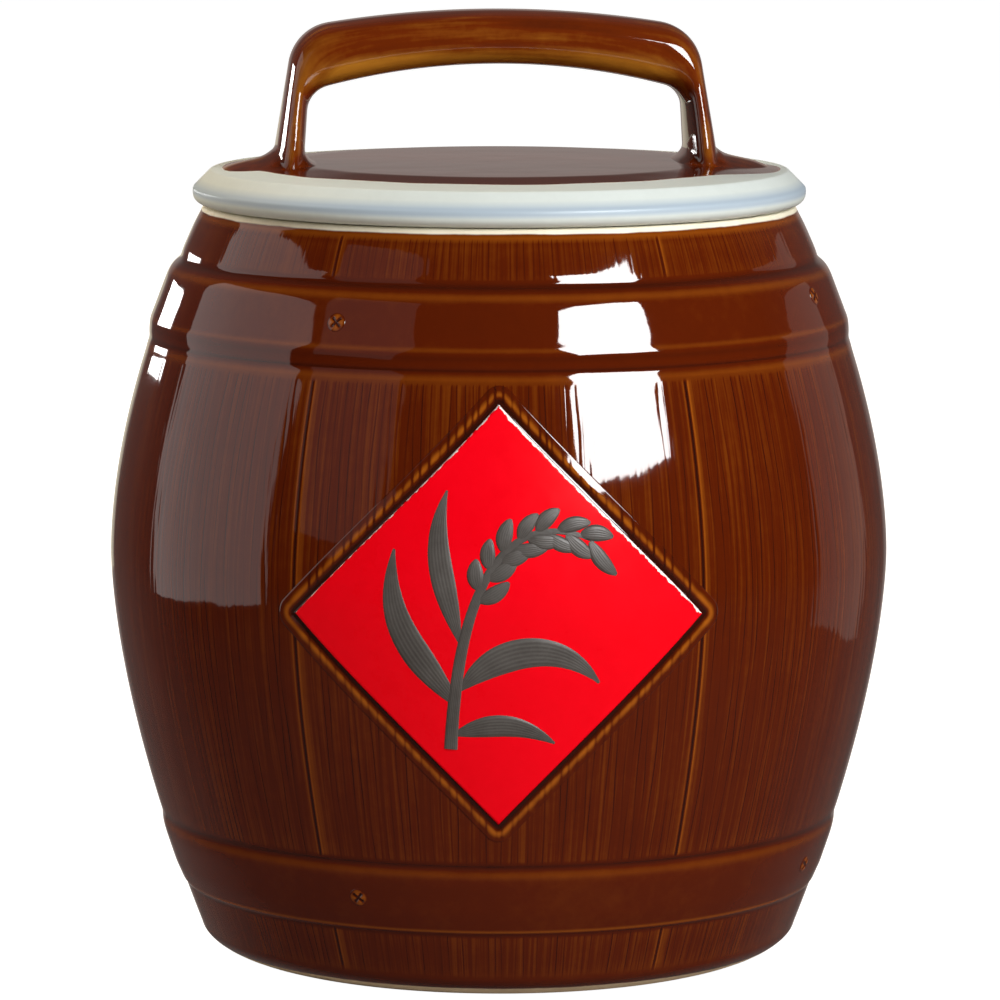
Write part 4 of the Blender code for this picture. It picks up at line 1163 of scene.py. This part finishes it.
def arch(foot, lean, apex, crown_radius, corner_radius):
    """An arch in (across, up): a leaning leg, a round corner, a shallow crown, and the same back."""
    up, inward = Vector((-math.sin(lean), math.cos(lean))), Vector((-math.cos(lean), -math.sin(lean)))
    crown_centre = Vector((0, apex - crown_radius))
    offset = foot + inward * corner_radius - crown_centre
    along = offset.dot(up)
    leg = math.sqrt(along * along - offset.length_squared + (crown_radius - corner_radius) ** 2) - along
    corner_centre = foot + inward * corner_radius + up * leg
    spoke = (corner_centre - crown_centre).normalized()
    corner_turn, crown_turn = Vector.angle_signed(-inward, spoke), Vector.angle_signed(spoke, Vector((0, 1)))
    legs, corners, crowns = ARCH_STEPS
    points = [foot + up * leg * i / legs for i in range(legs)]
    points += [corner_centre + turned_by(-inward, corner_turn * i / corners) * corner_radius
               for i in range(corners)]
    points += [crown_centre + turned_by(spoke, crown_turn * i / crowns) * crown_radius
               for i in range(crowns + 1)]
    points = np.array(points)
    return np.concatenate([points, points[-2::-1] * (-1, 1)])

# %% [markdown]
# The section of the strap is a rounded box. It gets rounder down the legs and flares at their foot.
# %% Strap
STRAP_COLUMNS, LEG_FADE, FLARE_FADE = 72, (0.042, 0.026), (0.031, 0.003)
apex = DISC_RISE + HANDLE_RISE
strap_floor = DISC_RISE - STRAP_SUNK
leg_inner = HANDLE_FOOT - LEG_THICKNESS
outer = arch(Vector((HANDLE_FOOT, strap_floor)), HANDLE_LEAN, apex, HANDLE_CROWN, HANDLE_CORNER)
finger_top = apex - GRIP_THICKNESS
inner = arch(Vector((leg_inner, strap_floor)), FINGER_LEAN, finger_top, FINGER_CROWN, FINGER_CORNER)
turns = (np.arange(STRAP_COLUMNS) + 0.5) * math.tau / STRAP_COLUMNS
middle, reach = (outer + inner) / 2, (outer - inner) / 2
above_disc = middle[:, 1] - DISC_RISE
on_leg = smooth_between(*LEG_FADE, above_disc)
power = 2 / (STRAP_ROUNDNESS + (LEG_ROUNDNESS - STRAP_ROUNDNESS) * on_leg)[:, None]
across, depth = (np.copysign(np.abs(wave) ** power, wave) for wave in (np.cos(turns), np.sin(turns)))
ring_flat = middle[:, None] + reach[:, None] * across[..., None]
flare = LEG_FLARE * smooth_between(*FLARE_FADE, above_disc)
strap = np.stack([ring_flat[..., 0], (0.5 * HANDLE_WIDTH + flare)[:, None] * depth, ring_flat[..., 1]], -1)
print(strap.shape, "strap points")

# %% [markdown]
# Each foot is a low mound that fades into the lid at its edge and rises in a fillet to the leg.
# %% Feet
MOUND_STEPS, MOUND_SUNK, ROOT_NARROWER, ROOT_SLOPE = (60, 70), 0.0018, 0.22, 1.3


def closed_grid(low, high):
    """A closed mesh between two matching grids of points."""
    rows, columns = low.shape[:2]
    count = rows * columns
    index = np.arange(count).reshape(rows, columns)
    faces = []
    for g in (index, index + count):
        faces.append(np.stack([g[:-1, :-1], g[1:, :-1], g[1:, 1:], g[:-1, 1:]], -1).reshape(-1, 4))
    rim = list(index[:, 0]) + list(index[-1, 1:]) + list(index[-2::-1, -1]) + list(index[0, -2:0:-1])
    faces.append(np.array([(a, b, b + count, a + count) for a, b in zip(rim, rim[1:] + rim[:1])]))
    return np.concatenate([low.reshape(-1, 3), high.reshape(-1, 3)]), np.concatenate(faces)


def root_height(along, across):
    """How far a foot stands above the lid's face."""
    run = np.minimum(1, np.maximum(0, along - HANDLE_FOOT) / (ROOT_END_RADIUS - HANDLE_FOOT))
    spread = np.minimum(1, np.abs(across) / (ROOT_HALF_WIDTH * (1 - ROOT_NARROWER * run)))
    inside = np.clip(1 - spread**2 - run**5, 0, 1)
    hill = (ROOT_CREST_LEG + (ROOT_CREST_END - ROOT_CREST_LEG) * run) * inside**ROOT_SLOPE
    past_side = np.maximum(0, np.abs(across) - 0.5 * HANDLE_WIDTH)
    past_leg = np.maximum.reduce([leg_inner - along, along - HANDLE_FOOT, past_side])
    fillet = ROOT_FILLET * np.exp(-past_leg / ROOT_FILLET_REACH) * (1 - spread**4) * (1 - run)
    inner_share = np.maximum(0, 1 - np.maximum(0, leg_inner - along) / ROOT_TOE)
    return ROOT_EDGE + (hill + fillet) * inner_share**2


def foot_mound(side):
    """One flared foot as a closed mound whose underside is sunk a little into the lid."""
    lengthwise, sideways = MOUND_STEPS
    share, spread = np.meshgrid(np.linspace(0, 1, lengthwise), np.linspace(-1, 1, sideways), indexing="ij")
    across = ROOT_HALF_WIDTH * spread
    end_rise = np.maximum(root_height(np.full_like(across, ROOT_END_RADIUS), across), 0)
    toe, off_centre = leg_inner - ROOT_TOE, side * HANDLE_OFF_CENTRE
    layers = []
    for top in (False, True):
        end_radius = ROOT_END_RADIUS - 0.5 * end_rise * top
        along = toe + (np.sqrt(end_radius**2 - across**2) - off_centre - toe) * share
        raised = root_height(along, across) if top else -MOUND_SUNK
        rise = lid_top(np.hypot(along + off_centre, across)) + raised
        layers.append(np.stack([side * along, across, rise], -1))
    return closed_grid(*layers)

# %% [markdown]
# The strap and the two feet overlap, and the remesh turns them into one closed skin.
# %% One skin for the handle
SKIN_CELL = 0.0007
raw = bmesh.new()
verts = [[raw.verts.new(point) for point in ring] for ring in strap]
for ring, following in zip(verts, verts[1:]):
    for k in range(len(ring)):
        raw.faces.new((ring[k], ring[k - 1], following[k - 1], following[k]))
raw.faces.new(verts[0])
raw.faces.new(verts[-1][::-1])
for side in (1, -1):
    mound_points, mound_faces = foot_mound(side)
    mound = [raw.verts.new(point) for point in mound_points]
    for face in mound_faces:
        raw.faces.new([mound[k] for k in face])
bmesh.ops.recalc_face_normals(raw, faces=raw.faces)
raw_mesh = bpy.data.meshes.new("handle_raw")
raw.to_mesh(raw_mesh)
raw.free()
raw_handle = bpy.data.objects.new("handle_raw", raw_mesh)
scene.collection.objects.link(raw_handle)
melt = raw_handle.modifiers.new("melt", "REMESH")
melt.mode = "VOXEL"
melt.voxel_size = SKIN_CELL
melt.adaptivity = 0.0
handle_mesh = bpy.data.meshes.new_from_object(raw_handle.evaluated_get(bpy.context.evaluated_depsgraph_get()))
bpy.data.objects.remove(raw_handle)
print("handle skin", len(handle_mesh.vertices), "points")

# %% [markdown]
# The skin is relaxed by moving each point towards the mean of its neighbours and nearly as far back,
# so that it hardly shrinks. A few last rounds only smooth it. A far softer copy shows where the skin
# is a ridge, for the thinner glaze.
# %% Relax the skin
RELAX_ROUNDS, RELAX_IN, RELAX_BACK, LAST_ROUNDS, BLUR_ROUNDS, EVEN_ROUNDS = 14, 0.55, -0.53, 4, 60, 6
edges = np.zeros(len(handle_mesh.edges) * 2, np.int32)
handle_mesh.edges.foreach_get("vertices", edges)
edges = edges.reshape(-1, 2)
link_counts = np.bincount(edges.ravel(), minlength=len(handle_mesh.vertices)).astype(float)


def eased(values, amount):
    """Values moved by an amount towards the mean of their neighbours along the edges."""
    total = np.zeros_like(values)
    np.add.at(total, edges[:, 0], values[edges[:, 1]])
    np.add.at(total, edges[:, 1], values[edges[:, 0]])
    mean = total / link_counts.reshape(-1, *([1] * (values.ndim - 1)))
    return (1 - amount) * values + amount * mean


def skin_values(field):
    """Places or normals of the handle's points."""
    values = np.zeros(len(handle_mesh.vertices) * 3, np.float32)
    handle_mesh.vertices.foreach_get(field, values)
    return values.reshape(-1, 3).astype(float)


def move_skin(points):
    """Puts the handle's points at new places."""
    handle_mesh.vertices.foreach_set("co", points.astype(np.float32).ravel())
    handle_mesh.update()


skin = skin_values("co")
for _ in range(RELAX_ROUNDS):
    skin = eased(eased(skin, RELAX_IN), RELAX_BACK)
for _ in range(LAST_ROUNDS):
    skin = eased(skin, 0.5)
move_skin(skin)
blurred = skin
for _ in range(BLUR_ROUNDS):
    blurred = eased(blurred, 0.5)
ridge = ((skin - blurred) * skin_values("normal")).sum(1)
for _ in range(EVEN_ROUNDS):
    ridge = eased(ridge, 1)
print("ridge", round(float(ridge.min()) * 1000, 2), round(float(ridge.max()) * 1000, 2), "mm")

# %% [markdown]
# The glaze runs thin along the low edges of the bridge and on the crests of the feet, and pools
# where the handle meets the lid. Each point also gets its run along the strap for the streaks.
# %% Marks on the handle
BRIDGE_RISE, BRIDGE_END, LOW_EDGE, NEAR_LID = (0.034, 0.044), (0.075, 0.052), (0.42, 1.0), (0.0060, 0.0005)
CREST_START, CREST_HALF_WIDTH, SQUARENESS = (0.001, 0.005), 0.008, 8
EVENLY, EDGE_THINNER, LEFT_THINNER, LID_THICKER, CREST_THINNER = 0.42, 0.50, 0.12, 0.12, 0.42
x, y, z = skin.T
bridge = smooth_between(*BRIDGE_RISE, z) * smooth_between(*BRIDGE_END, np.abs(x))
crown_fall = x**2 / (2 * HANDLE_CROWN)
low_edge = smooth_between(*LOW_EDGE, (apex - crown_fall - z) / GRIP_THICKNESS) * bridge
near_lid = smooth_between(*NEAR_LID, z - lid_top(np.hypot(x, y)))
foot_crest = smooth_between(*CREST_START, np.abs(x) - HANDLE_FOOT) * np.exp(-((y / CREST_HALF_WIDTH) ** 2))
handle_thin = EVENLY + np.clip(ridge / 0.0040, -0.30, 0.16)
handle_thin += (EDGE_THINNER + LEFT_THINNER * smooth_between(0.0, -0.06, x)) * low_edge
set_mark(handle_mesh, "thin", handle_thin - LID_THICKER * near_lid + CREST_THINNER * foot_crest)
high = z - DISC_RISE + crown_fall
depth_in = (x / HANDLE_FOOT) ** SQUARENESS + (high / HANDLE_RISE) ** SQUARENESS
depth_in = HANDLE_RISE * depth_in ** (1 / SQUARENESS)
strap_run = np.stack([HANDLE_RISE * np.arctan2(x, high), y, depth_in], -1)
set_mark(handle_mesh, "strap_run", strap_run, "FLOAT_VECTOR", "vector")

# %% [markdown]
# The handle was built round its own middle. Now it is set a little off centre, turned by a few
# degrees and raised to the lid's seat.
# %% Place the handle
c, s = math.cos(HANDLE_TURN), math.sin(HANDLE_TURN)
x = x + HANDLE_OFF_CENTRE
move_skin(np.column_stack([c * x - s * y, s * x + c * y, z + SEAT_HEIGHT]))
handle_mesh.shade_smooth()
handle_mesh.materials.clear()
handle = bpy.data.objects.new("strap_handle", handle_mesh)
scene.collection.objects.link(handle)
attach(handle, "lid")
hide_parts("lid_handle")

# %% [markdown]
# ## The handle's glaze
# The same brown glaze lies thinner on the handle, so it shows more amber. It was brushed on along
# the strap, so the noise of its streaks is read by the run along the strap and follows its bends.
# %% Material: handle glaze
STREAK_SCALE = (22.0, 240.0, 240.0)
handle_glaze, tree, shader = new_material("handle_glaze")
mottle = place_group(tree, mottle_group, Scale=30.0)
run = add(tree, "Attribute", output="Vector", attribute_name="strap_run")
stretched = add(tree, "VectorMath", {0: run, 1: STREAK_SCALE}, operation="MULTIPLY")
thinness = weighted(tree, mottle, 0.35, mark(tree, "thin"))
thinness = weighted(tree, noise(tree, 1.0, 3.0, spot=stretched), 0.85, thinness)
tone = place_group(tree, tone_group, Thinness=thinness, Pooled=(0.038, 0.0068, 0.0030, 1),
                   Even=(0.142, 0.0200, 0.0020, 1), Thin=(0.44, 0.170, 0.016, 1))
fill(tree, shader, {
    "Base Color": tone,
    "Roughness": mottled(tree, mottle, 0.03, 0.07),
    "Normal": rippled(tree, 55.0, 0.00012),
    "IOR": GLAZE_IOR,
})
handle.data.materials.append(handle_glaze)

# %% [markdown]
# ## Finish
# The size of the dressed model is printed.
# %% Sizes and finish
low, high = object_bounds()
print("visual", [round(v * 1000, 1) for v in (*low, *high)])
